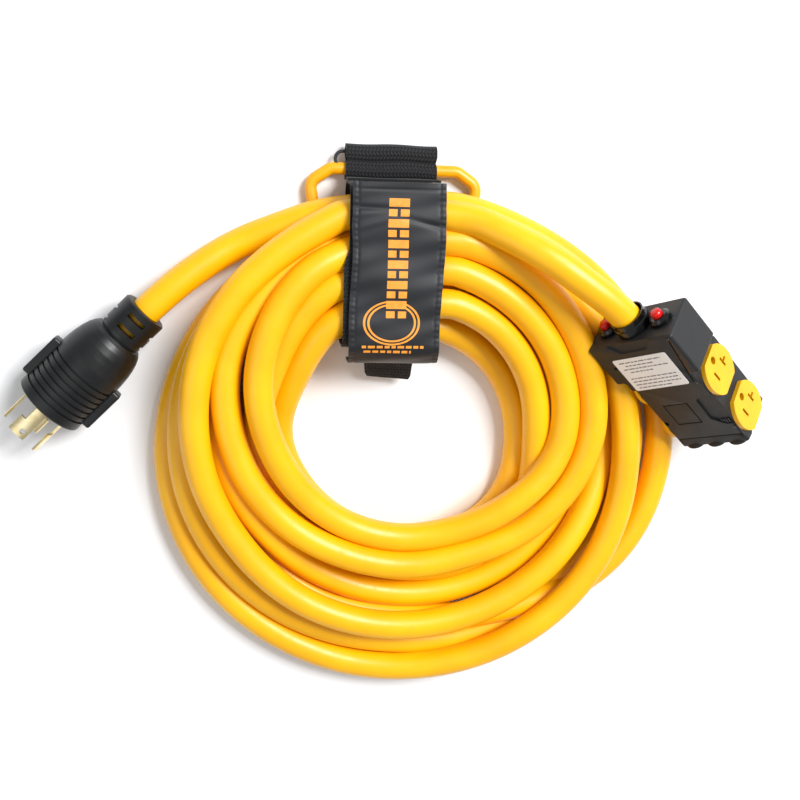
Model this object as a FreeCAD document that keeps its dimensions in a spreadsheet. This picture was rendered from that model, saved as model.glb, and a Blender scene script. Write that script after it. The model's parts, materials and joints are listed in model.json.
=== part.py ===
import FreeCAD, Part
import math
import os

import Sketcher
from FreeCAD import Placement, Rotation, Vector

# A generator power cord, wound for storage: a twist-locking plug with four blades, a thick four-core
# cable in a coil, and an outlet box with two breakers and four sockets. A strap with a carrying handle
# ties the coil. The coil lies flat on z = 0, the strap is towards +Y, the plug to -X, the box to +X.
# Lengths in millimetres, angles in degrees.

doc = FreeCAD.newDocument("OutletCord")
sheet = doc.addObject("Spreadsheet::Sheet", "Sizes")

driving = {
    # the whole part
    "frame_x": 9.14,
    "frame_y": 19.3,
    "cable_dia": 19.6,
    "cable_gap": 0.4,
    # plug: measured along its axis from the cable end of the neck
    "plug_x": -169.5,
    "plug_y": 64.2,
    "plug_z": 23.6,
    "plug_heading": 224.6,
    "plug_long": 88.0,
    "plug_radius": 23.4,
    "plug_wall": 3.0,
    "neck_long": 23.5,
    "neck_radius": 15.2,
    "dome_long": 29.0,
    "grip_start": 54.0,
    "rib_pitch": 4.3,
    "rib_count": 7,
    "rib_groove": 1.5,
    "ear_start": 51.5,
    "ear_long": 30.0,
    "ear_wide": 11.0,
    "ear_radius": 27.8,
    "window_long": 3.2,
    "window_wide": 12.5,
    "core_long": 11.0,
    "blade_radius": 14.7,
    "blade_thick": 1.6,
    "blade_out": 24.0,
    "blade_in": 16.0,
    "blade_angle": 30.0,
    "hook_angle": 46.0,
    "hook_from": 12.5,
    "ground_extra": 3.0,
    "blade_hole": 1.85,
    "crimp_radius": 2.6,
    "crimp_long": 8.0,
    "plug_jacket": 20.0,
    # outlet box: w across, l from the cable end to the far end, d from the label face to the back
    "box_x": 116.4,
    "box_y": 44.5,
    "box_z": 50.7,
    "box_yaw": 29.8,
    "box_pitch": -52.7,
    "box_roll": 19.6,
    "head_wide": 64.6,
    "head_long": 44.5,
    "head_deep": 33.5,
    "wing_long": 36.0,
    "body_inset": 6.5,
    "body_step": 2.8,
    "body_long": 110.0,
    "body_deep": 40.0,
    "box_wall": 2.4,
    "box_split": 16.0,
    "box_round": 2.0,
    "scoop_wide": 36.0,
    "scoop_long": 8.0,
    "scoop_deep": 3.0,
    "label_wide": 41.0,
    "label_long": 31.0,
    "label_inset": 11.5,
    "label_start": 12.5,
    "label_thick": 0.3,
    "post_radius": 3.5,
    "screw_radius": 1.5,
    "screw_head": 2.8,
    "screw_end": 6.0,
    # cable gland and clamp
    "gland_across": 32.0,
    "gland_out": 10.0,
    "gland_in": 13.0,
    "gland_radius": 12.3,
    "gland_mouth": 11.8,
    "gland_neck": 11.4,
    "gland_bell": 10.9,
    "clamp_long": 7.0,
    # breakers
    "breaker_left": 12.2,
    "breaker_right": 52.4,
    "breaker_wide": 12.6,
    "breaker_deep": 24.0,
    "breaker_long": 26.0,
    "bushing_radius": 7.3,
    "bushing_out": 4.6,
    "button_radius": 3.7,
    "button_out": 4.2,
    "button_gap": 0.1,
    "button_travel": 4.0,
    # sockets
    "socket_radius": 16.8,
    "socket_flat": 14.1,
    "socket_plate": 3.0,
    "socket_depth": 12.0,
    "socket_core": 12.0,
    "socket_centre": 20.2,
    "socket_first": 55.5,
    "socket_pitch": 37.3,
    "slot_offset": 6.35,
    "slot_high": 7.4,
    "slot_wide": 2.0,
    "ground_offset": 11.9,
    "ground_radius": 2.6,
    "bar_thick": 1.2,
    "wire_dia": 4.6,
    "lead_dia": 3.6,
    "box_jacket": 21.0,
    # coil
    "coil_x": 15.5,
    "coil_y": -33.0,
    "coil_radius": 179.0,
    "hole_x": -3.5,
    "hole_y": -17.0,
    "hole_long": 78.5,
    "hole_short": 66.5,
    "coil_high": 53.0,
    "coil_slope": 3.4,
    "coil_round": 9.0,
    # strap and handle
    "strap_x": -12.0,
    "strap_wide": 60.0,
    "strap_thick": 1.6,
    "strap_inner": 45.0,
    "strap_outer": 149.6,
    "strap_under": 11.0,
    "strap_top": 53.0,
    "strap_round": 11.0,
    "sleeve_wide": 58.0,
    "sleeve_thick": 2.6,
    "bar_y": 157.0,
    "bar_z": 6.2,
    "rod_dia": 8.0,
    "rod_bend": 8.0,
    "fold_y": 167.6,
    "fold_radius": 5.8,
    "tab_wide": 34.0,
    "tab_long": 27.0,
}

for row, (alias, value) in enumerate(driving.items(), 1):
    sheet.set(f"A{row}", alias)
    sheet.set(f"B{row}", str(value))
    sheet.setAlias(f"B{row}", alias)
doc.recompute()


def worth(expression):
    """the number that an expression on the sheet gives"""
    return float(sheet.evalExpression(full(expression)))


def full(expression):
    """an expression with the sheet's name before each of its aliases"""
    words = []
    word = ""
    for letter in str(expression) + " ":
        if letter.isalpha() or letter == "_":
            word += letter
            continue
        words.append(f"Sizes.{word}" if word in driving else word)
        words.append(letter)
        word = ""
    return "".join(words).strip()


def bind(thing, **sizes):
    for name, expression in sizes.items():
        thing.setExpression(name, full(expression))
    return thing


def primitive(kind, name, at=("0", "0", "0"), turn=None, **sizes):
    """a Part primitive with its sizes and its place bound to the sheet"""
    thing = doc.addObject(f"Part::{kind}", name)
    if turn:
        thing.Placement = Placement(Vector(), Rotation(Vector(*turn[0]), turn[1]))
    for letter, expression in zip("xyz", at):
        if str(expression) != "0":
            thing.setExpression(f"Placement.Base.{letter}", full(expression))
    return bind(thing, **sizes)


def box(name, at, length, width, height):
    return primitive("Box", name, at, Length=length, Width=width, Height=height)


def boolean(kind, name, first, *others):
    """Cut takes the others away from first; Fuse joins and Common intersects them all"""
    if kind == "Cut":
        tool = others[0]
        if len(others) > 1:
            tool = doc.addObject("Part::MultiFuse", name + "Tools")
            tool.Shapes = list(others)
        thing = doc.addObject("Part::Cut", name)
        thing.Base = first
        thing.Tool = tool
        return thing
    thing = doc.addObject(f"Part::Multi{kind}", name)
    thing.Shapes = [first, *others]
    return thing


def rounded(name, base, radius, wanted):
    """a Part::Fillet on the edges of base whose centre of mass answers wanted"""
    doc.recompute()
    thing = doc.addObject("Part::Fillet", name)
    thing.Base = base
    edges = [number for number, edge in enumerate(base.Shape.Edges, 1) if wanted(edge)]
    thing.Edges = [(number, worth(radius), worth(radius)) for number in edges]
    return thing


def runs_along(edge, axis):
    """true for a straight edge along an axis"""
    if not isinstance(edge.Curve, Part.Line):
        return False
    return abs(edge.Curve.Direction.dot(Vector(*axis))) > 0.999


nodes = []


def sub_part(thing, label, place=None):
    """names a finished sub-part and puts it in its place"""
    thing.Label = label
    if place is not None:
        thing.Placement = place.multiply(thing.Placement)
    nodes.append(thing)
    return thing


def shape_part(label, shape, place=None):
    """a sub-part whose shape no feature suits: cloth, wire and cable"""
    thing = doc.addObject("Part::Feature", label)
    thing.Shape = shape
    return sub_part(thing, label, place)


def plane_of(body, role):
    return next(item for item in body.Origin.OriginFeatures if item.Role == role)


def outline(body, name, role, points, offset=None):
    """a closed sketch of straight lines whose corners are pairs of expressions"""
    sketch = body.newObject("Sketcher::SketchObject", name)
    sketch.AttachmentSupport = [(plane_of(body, role), "")]
    sketch.MapMode = "FlatFace"
    if offset:
        sketch.setExpression("AttachmentOffset.Base.z", full(offset))
    corners = [Vector(worth(across), worth(up), 0) for across, up in points]
    lines = [Part.LineSegment(a, b) for a, b in zip(corners, corners[1:] + corners[:1])]
    sketch.addGeometry(lines, False)
    for number in range(len(lines)):
        following = (number + 1) % len(lines)
        sketch.addConstraint(Sketcher.Constraint("Coincident", number, 2, following, 1))
    for number, (point, corner) in enumerate(zip(points, corners)):
        for kind, axis, expression, value in (
            ("DistanceX", -2, point[0], corner.x),
            ("DistanceY", -1, point[1], corner.y),
        ):
            if abs(value) < 1e-7:
                sketch.addConstraint(Sketcher.Constraint("PointOnObject", number, 1, axis))
                continue
            index = sketch.addConstraint(Sketcher.Constraint(kind, -1, 1, number, 1, value))
            sketch.setExpression(f"Constraints[{index}]", full(expression))
    return sketch


def turned(label, points, place):
    """a PartDesign body turned about its own Z axis from a half profile of (radius, height)"""
    body = doc.addObject("PartDesign::Body", label)
    sketch = outline(body, label + "Profile", "XZ_Plane", points)
    turn = body.newObject("PartDesign::Revolution", label + "Turn")
    turn.Profile = sketch
    turn.ReferenceAxis = (sketch, ["V_Axis"])
    turn.Angle = 360
    return sub_part(body, label, place)


def tube(points, diameter, bend=None):
    """a round tube along straight runs joined by arcs; returns the solid and the arcs' radii"""
    ends = [Vector(*point) for point in points]
    edges, radii = [], []
    start = ends[0]
    length = 0.0
    for before, corner, after in zip(ends, ends[1:], ends[2:]):
        into = corner - before
        out = after - corner
        turn = into.getAngle(out)
        run = min(into.Length, out.Length)
        radius = bend if bend else 0.45 * run / math.tan(turn / 2)
        reach = radius * math.tan(turn / 2)
        first = corner - into.normalize() * reach
        last = corner + out.normalize() * reach
        middle = corner - (into - out).normalize() * (radius / math.cos(turn / 2) - radius)
        edges.append(Part.LineSegment(start, first).toShape())
        edges.append(Part.Arc(first, middle, last).toShape())
        radii.append(radius)
        length += (first - start).Length + radius * turn
        start = last
    edges.append(Part.LineSegment(start, ends[-1]).toShape())
    length += (ends[-1] - start).Length
    heading = ends[1] - ends[0]
    ring = Part.Wire(Part.Circle(ends[0], heading, diameter / 2).toShape())
    solid = Part.Wire(edges).makePipeShell([ring], True, False)
    area = math.pi * diameter * diameter / 4
    if abs(solid.Volume - area * length) > 0.01 * area * length:
        raise ValueError(f"a tube's volume {solid.Volume:.0f} isn't its section times {length:.0f}")
    return solid, radii


shift = Vector(worth("frame_x"), worth("frame_y"), 0)


# ---- plug ----
heading = math.radians(worth("plug_heading"))
plug_axis = Vector(math.cos(heading), math.sin(heading), 0)
plug_origin = Vector(worth("plug_x"), worth("plug_y"), worth("plug_z")) + shift
# local Z runs to the blades and local X points up
plug_place = Placement(plug_origin, Rotation(Vector(0, 0, 1), Vector(), plug_axis, "ZXY"))
UP = (0, 0, 1)


def plug_moulding():
    """the grip: neck, dome, ribbed barrel, collar and two ears, hollow inside"""
    body = doc.addObject("PartDesign::Body", "PlugShell")
    dome = []
    steps = 7
    for step in range(1, steps):
        angle = 90.0 * step / steps
        dome.append(
            (
                f"neck_radius - 0.6 + (plug_radius - neck_radius + 0.6) * sin({angle})",
                f"neck_long + dome_long * (1 - cos({angle}))",
            )
        )
    outside = [
        ("cable_dia / 2 + cable_gap / 2", "0"),
        ("neck_radius - 1", "0"),
        ("neck_radius", "1"),
        ("neck_radius", "neck_long - 3"),
        ("neck_radius - 0.6", "neck_long"),
        *dome,
        ("plug_radius", "neck_long + dome_long"),
        ("plug_radius", "plug_long - 0.8"),
        ("plug_radius - 0.8", "plug_long"),
    ]
    inside = [
        ("plug_radius - plug_wall", "plug_long"),
        ("plug_radius - plug_wall", "neck_long + dome_long"),
        ("cable_dia / 2 + cable_gap / 2", "neck_long + dome_long / 3"),
    ]
    sketch = outline(body, "PlugProfile", "XZ_Plane", outside + inside)
    turn = body.newObject("PartDesign::Revolution", "PlugTurn")
    turn.Profile = sketch
    turn.ReferenceAxis = (sketch, ["V_Axis"])
    turn.Angle = 360
    grooves = []
    for number in range(int(worth("rib_count"))):
        at = ("0", "0", f"grip_start + {number} * rib_pitch")
        outer = primitive("Cylinder", f"RibOuter{number}", at, Radius="plug_radius + 1", Height="rib_groove")
        inner = primitive("Cylinder", f"RibInner{number}", at, Radius="plug_radius - 1.1", Height="rib_groove")
        grooves.append(boolean("Cut", f"RibGroove{number}", outer, inner))
    grooved = boolean("Cut", "PlugGrooved", body, *grooves)
    ears = []
    for side in (-1, 1):
        near = "plug_radius - 2" if side > 0 else "-ear_radius"
        at = ("-ear_wide / 2", near, "ear_start")
        ear = box(f"Ear{side + 1}", at, "ear_wide", "ear_radius - plug_radius + 2", "ear_long")
        outward = worth("plug_radius")
        ears.append(rounded(f"EarRound{side + 1}", ear, "1.6", lambda edge: side * edge.CenterOfMass.y > outward))
    windows = []
    for number, (side, height) in enumerate((("x", 5), ("x", 14), ("y", 9.5), ("y", 18.5))):
        # each pair of windows goes right through the neck, over the cable
        sizes = ["2 * neck_radius + 2", "window_wide"]
        long, wide = sizes if side == "x" else sizes[::-1]
        at = (f"-({long}) / 2", f"-({wide}) / 2", height)
        windows.append(box(f"Window{number}", at, long, wide, "window_long"))
    whole = boolean("Fuse", "PlugWithEars", grooved, *ears)
    return boolean("Cut", "PlugBody", whole, *windows)


def ring_slice(name, middle, angle, start, length, grow="0"):
    """a slice of the ring that the blades are cut from, about the plug's axis"""
    begin = 90 * middle - worth("blade_angle") / 2 - 2 * worth(grow)
    pair = []
    for part, sign in (("Outer", "+"), ("Inner", "-")):
        radius = f"blade_radius {sign} (blade_thick / 2 + {grow})"
        at = ("0", "0", start)
        pair.append(primitive("Cylinder", name + part, at, (UP, begin), Radius=radius, Height=length, Angle=angle))
    return boolean("Cut", name, *pair)


def blade(label, side, extra="0", hooked=True, holed=False):
    """a curved blade, wider at its hook"""
    thing = ring_slice(label + "Root", side, "blade_angle", "plug_long - blade_in", f"blade_in + blade_out + {extra}")
    if hooked:
        start = "plug_long + hook_from"
        hook = ring_slice(label + "Hook", side, "hook_angle", start, f"blade_out - hook_from + {extra}")
        thing = boolean("Fuse", label + "Joined", thing, hook)
    if holed:
        at = ("0", "0", "plug_long + blade_out - 4.5")
        drill = primitive("Cylinder", label + "Drill", at, ((0, 1, 0), 90), Radius="blade_hole", Height="plug_radius")
        thing = boolean("Cut", label + "Drilled", thing, drill)
    return sub_part(thing, label, plug_place)


sub_part(plug_moulding(), "plug_body", plug_place)
blade("plug_blade_neutral", 0, holed=True)
blade("plug_blade_hot_x", 1, hooked=False)
blade("plug_blade_hot_y", 2)
blade("plug_blade_ground", 3, "ground_extra")

# the insulating core that the blades are moulded into
core_at = ("0", "0", "plug_long - core_long")
core_disc = primitive("Cylinder", "CoreDisc", core_at, Radius="plug_radius - plug_wall - 0.05", Height="core_long - 0.4")
slots = [
    ring_slice(f"CoreSlot{side}", side, "blade_angle + 0.2", "plug_long - core_long - 1", "core_long + 2", "0.05")
    for side in range(4)
]
sub_part(boolean("Cut", "PlugCore", core_disc, *slots), "plug_core", plug_place)

# barrels that grip the conductors behind the blades, and the conductors up to the cut jacket
crimp_reach = worth("blade_radius - blade_thick / 2 - crimp_radius - 0.05")
crimp_low = worth("plug_long - blade_in - crimp_long / 2")
crimps = []
conductors = []
for side in range(4):
    away = Vector(math.cos(side * math.pi / 2), math.sin(side * math.pi / 2), 0)
    low = away * crimp_reach + Vector(0, 0, crimp_low)
    crimps.append(Part.makeCylinder(worth("crimp_radius"), worth("crimp_long"), low))
    jacket = away * 3.4 + Vector(0, 0, worth("plug_jacket") + 0.05)
    route = [jacket, jacket + Vector(0, 0, 12), low - Vector(0, 0, 16), low - Vector(0, 0, 0.05)]
    conductors.append(tube(route, worth("wire_dia"))[0])
shape_part("plug_crimps", Part.makeCompound(crimps), plug_place)
shape_part("plug_conductors", Part.makeCompound(conductors), plug_place)


# ---- outlet box ----
box_place = Placement(
    Vector(worth("box_x"), worth("box_y"), worth("box_z")) + shift,
    Rotation(worth("box_yaw"), worth("box_pitch"), worth("box_roll")),
)
# local X runs across (w), local -Y from the cable end to the far end (l), local -Z to the back (d)


def box_block(name, w, l, d):
    """a block of the outlet box between two values of w, l and d"""
    at = (w[0], f"-({l[1]})", f"-({d[1]})")
    return box(name, at, f"({w[1]}) - ({w[0]})", f"({l[1]}) - ({l[0]})", f"({d[1]}) - ({d[0]})")


def box_pillar(name, w, l, d, radius):
    """a round pillar from front to back between two values of d"""
    return primitive("Cylinder", name, (w, f"-({l})", f"-({d[1]})"), Radius=radius, Height=f"({d[1]}) - ({d[0]})")


# where the screws are: w, l and the depths of the front and back faces there
SCREWS = (
    ("12.6", "37.6", "0", "head_deep"),
    ("head_wide - 12.6", "37.6", "0", "head_deep"),
    ("gland_across", "49.5", "body_step", "body_deep"),
    ("gland_across", "body_long - 6.5", "body_step", "body_deep"),
)


def shell(front):
    """half of the box's case, hollow, with the holes for gland, breakers and sockets"""
    side = "Front" if front else "Rear"
    depth = {"head": ("0", "box_split"), "body": ("body_step", "box_split")}
    if not front:
        depth = {"head": ("box_split", "head_deep"), "body": ("box_split", "body_deep")}
    sides = ("body_inset", "head_wide - body_inset")
    head = box_block(side + "Head", ("0", "head_wide"), ("0", "wing_long"), depth["head"])
    neck = box_block(side + "Neck", sides, ("wing_long - 2", "head_long"), depth["head"])
    body = box_block(side + "Body", sides, ("head_long - 2", "body_long"), depth["body"])
    outer = boolean("Fuse", side + "Outer", head, neck)
    outer.Refine = True
    split = worth("-box_split")
    far = worth("-head_long")

    def rim(edge):
        return abs(edge.CenterOfMass.z - split) > 0.5

    def head_rim(edge):
        return rim(edge) and not (runs_along(edge, UP) and abs(edge.CenterOfMass.y - far) < 0.1)

    smooth_head = rounded(side + "HeadSmooth", outer, "box_round", head_rim)
    smooth_body = rounded(side + "BodySmooth", body, "box_round", rim)
    smooth = boolean("Fuse", side + "Smooth", smooth_head, smooth_body)
    wall = "box_wall"
    open_to = {
        True: {"head": (wall, "box_split + 1"), "body": (f"body_step + {wall}", "box_split + 1")},
        False: {"head": ("box_split - 1", f"head_deep - {wall}"), "body": ("box_split - 1", f"body_deep - {wall}")},
    }[front]
    inside = f"(body_inset + {wall})"
    holes = [
        box_block(side + "HeadHollow", (wall, f"head_wide - {wall}"), (wall, f"wing_long - {wall}"), open_to["head"]),
        box_block(side + "NeckHollow", (inside, f"head_wide - {inside}"), ("wing_long - 6", f"head_long - {wall}"), open_to["head"]),
        box_block(side + "BodyHollow", (inside, f"head_wide - {inside}"), ("head_long - 6", f"body_long - {wall}"), open_to["body"]),
    ]
    hollow = boolean("Cut", side + "Hollow", smooth, *holes)
    posts, holes = [], []
    for number, (w, l, ahead, back) in enumerate(SCREWS):
        span = (f"{ahead} + 1", "box_split") if front else ("box_split", f"{back} - 1")
        posts.append(box_pillar(f"{side}Post{number}", w, l, span, "post_radius"))
        holes.append(box_pillar(f"{side}Bore{number}", w, l, ("screw_end - 0.2", f"{back} + 1"), "screw_radius + 0.05"))
        if not front:
            holes.append(box_pillar(f"{side}Sink{number}", w, l, (f"{back} - 2.3", f"{back} + 1"), "screw_head + 0.1"))
    hollow = boolean("Fuse", side + "WithPosts", hollow, *posts)
    for name, across, radius in (
        ("GlandHole", "gland_across", "gland_neck"),
        ("LeftHole", "breaker_left", "bushing_radius - 2"),
        ("RightHole", "breaker_right", "bushing_radius - 2"),
    ):
        holes.append(
            primitive("Cylinder", side + name, (across, f"-2 * {wall}", "-box_split"), ((1, 0, 0), -90), Radius=radius, Height="12")
        )
    for number in range(2):
        along = f"-(socket_first + {number} * socket_pitch)"
        holes.append(
            primitive(
                "Cylinder",
                f"{side}SocketHole{number}",
                ("-1", along, "-socket_centre"),
                ((0, 1, 0), 90),
                Radius="socket_core + 0.1",
                Height="head_wide + 2",
            )
        )
    if front:
        scoop = outline_block(
            "Scoop",
            [
                ("gland_across - scoop_wide / 2", "1"),
                ("gland_across + scoop_wide / 2", "1"),
                ("gland_across + scoop_wide / 2 - scoop_long", "-scoop_long"),
                ("gland_across - scoop_wide / 2 + scoop_long", "-scoop_long"),
            ],
            "-1.4",
            "scoop_deep",
        )
        holes.append(scoop)
    return sub_part(boolean("Cut", side + "Case", hollow, *holes), side.lower() + "_shell", box_place)


def outline_block(name, points, bottom, high):
    """a block with a straight-sided outline in the plane of w and l"""
    body = doc.addObject("PartDesign::Body", name)
    pad = body.newObject("PartDesign::Pad", name + "Pad")
    pad.Profile = outline(body, name + "Sketch", "XY_Plane", points, bottom)
    pad.setExpression("Length", full(high))
    return body


front_shell = shell(True)
rear_shell = shell(False)


def box_axis(across, depth="box_split"):
    """a place in the box frame whose local Z points out of the cable end"""
    return box_place.multiply(
        Placement(Vector(worth(across), 0, -worth(depth)), Rotation(Vector(1, 0, 0), -90))
    )


gland = turned(
    "cable_gland",
    [
        ("cable_dia / 2 + cable_gap / 2", "-gland_in"),
        ("gland_neck - 0.1", "-gland_in"),
        ("gland_neck - 0.1", "0.05"),
        ("gland_radius", "0.05"),
        ("gland_radius", "gland_out * 0.55"),
        ("gland_radius - 0.8", "gland_out * 0.62"),
        ("gland_mouth", "gland_out"),
        ("gland_bell", "gland_out"),
        ("cable_dia / 2 + cable_gap / 2", "-2"),
    ],
    box_axis("gland_across"),
)

clamp_block = box_block(
    "ClampBlock",
    ("gland_across - 13.2", "gland_across + 13.2"),
    ("gland_in + 0.5", "gland_in + 0.5 + clamp_long"),
    ("box_split - 12", "box_split + 12"),
)
clamp_bore = primitive(
    "Cylinder", "ClampBore", ("gland_across", "-40", "-box_split"), ((1, 0, 0), -90), Radius="cable_dia / 2 + cable_gap / 2", Height="40"
)
sub_part(boolean("Cut", "ClampCut", clamp_block, clamp_bore), "cable_clamp", box_place)

for side, across in (("left", "breaker_left"), ("right", "breaker_right")):
    place = box_axis(across)
    # threaded bushing that holds the breaker in the wall, open for the button
    turned(
        f"breaker_bushing_{side}",
        [
            ("button_radius + button_gap", "-box_wall - 0.5"),
            ("bushing_radius - 2.1", "-box_wall - 0.5"),
            ("bushing_radius - 2.1", "0.05"),
            ("bushing_radius", "0.05"),
            ("bushing_radius", "bushing_out * 0.6"),
            ("bushing_radius - 1.6", "bushing_out"),
            ("button_radius + button_gap", "bushing_out"),
        ],
        place,
    )
    turned(
        f"reset_button_{side}",
        [
            ("0", "-box_wall - 0.3"),
            ("button_radius", "-box_wall - 0.3"),
            ("button_radius", "bushing_out + button_out * 0.5"),
            ("button_radius * 0.9", "bushing_out + button_out * 0.75"),
            ("button_radius * 0.6", "bushing_out + button_out * 0.94"),
            ("0", "bushing_out + button_out"),
        ],
        place,
    )
    housing = box_block(
        f"BreakerBlock{side}",
        (f"{across} - breaker_wide / 2", f"{across} + breaker_wide / 2"),
        ("box_wall + 0.6", "box_wall + 0.6 + breaker_long"),
        ("box_split - breaker_deep / 2", "box_split + breaker_deep / 2"),
    )
    sub_part(rounded(f"BreakerRound{side}", housing, "0.6", lambda edge: True), f"breaker_{side}", box_place)

# rating label on the front face of the head
label_block = box_block(
    "LabelBlock",
    ("label_inset", "label_inset + label_wide"),
    ("label_start", "label_start + label_long"),
    ("-label_thick", "0"),
)
sub_part(rounded("LabelRound", label_block, "1.5", lambda edge: runs_along(edge, (0, 0, 1))), "rating_label", box_place)

# four screws from the back hold the two shells together
screws = []
for number, (w, l, _, back) in enumerate(SCREWS):
    shank = box_pillar(f"ScrewShank{number}", w, l, ("screw_end", f"{back} - 1.2"), "screw_radius")
    head = box_pillar(f"ScrewHead{number}", w, l, (f"{back} - 2.2", f"{back} - 0.2"), "screw_head")
    screws.append(boolean("Fuse", f"Screw{number}", shank, head))
group = doc.addObject("Part::Compound", "ScrewGroup")
group.Links = screws
sub_part(group, "box_screws", box_place)


def socket_place(number):
    """two sockets a side: 0 and 1 on the right, 2 and 3 on the left; local Z points out"""
    right = number < 2
    along = worth(f"-(socket_first + {number % 2} * socket_pitch)")
    across = worth("head_wide - body_inset" if right else "body_inset")
    facing = Rotation(Vector(0, 0, -1), Vector(0, 1, 0), Vector(1, 0, 0), "ZYX")
    if not right:
        facing = Rotation(Vector(0, 0, 1), Vector(0, 1, 0), Vector(-1, 0, 0), "ZYX")
    return box_place.multiply(Placement(Vector(across, along, -worth("socket_centre")), facing))


# in a socket's own frame Y points to the cable end, X across the slots and Z out of its face
for number in range(4):
    name = f"Socket{number}"
    disc = primitive("Cylinder", name + "Face", ("0", "0", "0.05"), Radius="socket_radius", Height="socket_plate")
    trim = box(name + "Trim", ("-20", "-socket_flat", "-1"), "40", "2 * socket_flat", "socket_plate + 2")
    plate = boolean("Common", name + "Plate", disc, trim)
    barrel = primitive("Cylinder", name + "Core", ("0", "0", "-socket_depth"), Radius="socket_core", Height="socket_depth + 1")
    joined = boolean("Fuse", name + "Joined", plate, barrel)
    cuts = []
    for side in (-1, 1):
        x = f"{side} * slot_offset"
        cuts.append(box(f"{name}Slot{side + 1}", (f"{x} - slot_wide / 2", "-slot_high / 2", "-1"), "slot_wide", "slot_high", "20"))
        cuts.append(box(f"{name}Well{side + 1}", (f"{x} - 2.6", "-slot_high / 2 - 0.6", "-socket_depth - 1"), "5.2", "slot_high + 1.2", "socket_depth + 1"))
    # the T slot of a 20 A socket has a bar across it on the neutral side
    cuts.append(box(name + "Tee", ("slot_offset", "-slot_wide / 2", "-1"), "4.6", "slot_wide", "20"))
    cuts.append(primitive("Cylinder", name + "Ground", ("0", "ground_offset - 3.2", "-socket_depth - 1"), Radius="ground_radius", Height="30"))
    sub_part(boolean("Cut", name + "Body", joined, *cuts), f"socket_{number + 1}", socket_place(number))


def contacts(name, make):
    """one node with the same contact in all four sockets"""
    shapes = []
    for number in range(4):
        shape = make()
        shape.Placement = socket_place(number).multiply(shape.Placement)
        shapes.append(shape)
    return shape_part(name, Part.makeCompound(shapes))


def clip(side):
    """a forked contact in the well behind a slot"""
    high = worth("slot_high")
    deep = worth("socket_depth")
    x = side * worth("slot_offset")
    outer = Part.makeBox(4.6, high, deep - 0.6, Vector(x - 2.3, -high / 2, -deep))
    gap = Part.makeBox(1.8, high + 2, deep, Vector(x - 0.9, -high / 2 - 1, -deep + 1.6))
    return outer.cut(gap)


def cup(inner):
    """a round ground contact in its hole"""
    deep = worth("socket_depth")
    outer = Part.makeCylinder(worth("ground_radius") - 0.1, deep - 1, Vector(0, worth("ground_offset") - 3.2, -deep))
    return outer.cut(Part.makeCylinder(inner, deep, Vector(0, worth("ground_offset") - 3.2, -deep + 1.6)))


contacts("socket_contacts_hot", lambda: clip(-1))
contacts("socket_contacts_neutral", lambda: clip(1))
contacts("socket_contacts_ground", lambda: cup(1.8))


def strip(name, x, high, low, sides):
    """a strip of brass behind the sockets of each side; high and low are its ends along the box"""
    thick = worth("bar_thick")
    wide = 4.4
    behind = -worth("socket_depth") - thick - 0.02
    strips = []
    for side in sides:
        bar = Part.makeBox(wide, high - low, thick, Vector(x - wide / 2, low, behind))
        bar.Placement = socket_place(side).multiply(bar.Placement)
        strips.append(bar)
    shape_part(name, Part.makeCompound(strips))


hot_side = -worth("slot_offset")
line_low = -worth("socket_pitch") - 6
strip("bus_bar_hot_x", hot_side, 6, line_low, (0,))
strip("bus_bar_hot_y", hot_side, 6, line_low, (2,))
strip("bus_bars_neutral", -hot_side, 6, line_low, (0, 2))
strip("bus_bars_ground", 0, 11, 2 - worth("socket_pitch"), (0, 2))


def wire(name, points, diameter="lead_dia"):
    """an insulated wire in the box through points of (w, l, d)"""
    route = [Vector(w, -l, -d) for w, l, d in points]
    if len(route) == 2:
        run = route[1] - route[0]
        shape = Part.makeCylinder(worth(diameter) / 2, run.Length, route[0], run)
    else:
        shape, _ = tube(route, worth(diameter))
    return shape_part(name, shape, box_place)


middle = worth("gland_across")
split = worth("box_split")
jacket = worth("box_jacket") + 1
front_bar = worth("socket_centre - slot_offset")
back_bar = worth("socket_centre + slot_offset")
beside = worth("body_inset + socket_depth + bar_thick + lead_dia / 2") + 0.1
across = worth("head_wide")
inner_left = worth("breaker_left + breaker_wide / 2") + 0.05
inner_right = worth("breaker_right - breaker_wide / 2") - 0.05
behind = worth("box_wall + 0.6 + breaker_long") + 0.05
core_step = 3.0
wire("wire_hot_x", [(middle + core_step, jacket, split - core_step), (middle + core_step, jacket + 5, split - core_step), (inner_right, jacket + 5, split - core_step)])
wire("wire_hot_y", [(middle - core_step, jacket, split - core_step), (middle - core_step, jacket + 5, split - core_step), (inner_left, jacket + 5, split - core_step)])
wire("wire_neutral", [(middle + core_step, jacket, split + core_step), (middle + 5, jacket + 9, split + 6), (across - beside, 42, back_bar), (across - beside, 56, back_bar)])
wire("wire_ground", [(middle - core_step, jacket, split + core_step), (middle - 5, jacket + 9, split + 3.6), (beside, 41, worth("socket_centre")), (beside, 55, worth("socket_centre"))])
wire("breaker_lead_x", [(across - 17, behind, 13.0), (across - 17, behind + 4.5, 13.0), (across - beside, 42, front_bar), (across - beside, 56, front_bar)])
wire("breaker_lead_y", [(17, behind, 24.0), (17, behind + 4.5, 24.0), (beside, 42, back_bar), (beside, 56, back_bar)])
inner_bar = worth("body_inset + socket_depth + bar_thick") + 1.1
wire("neutral_jumper", [(inner_bar, 95, front_bar), (across - inner_bar, 95, back_bar)])
wire("ground_jumper", [(inner_bar, 62, worth("socket_centre")), (across - inner_bar, 62, worth("socket_centre"))])


# ---- strap and handle ----
left = "strap_x - strap_wide / 2"


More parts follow.
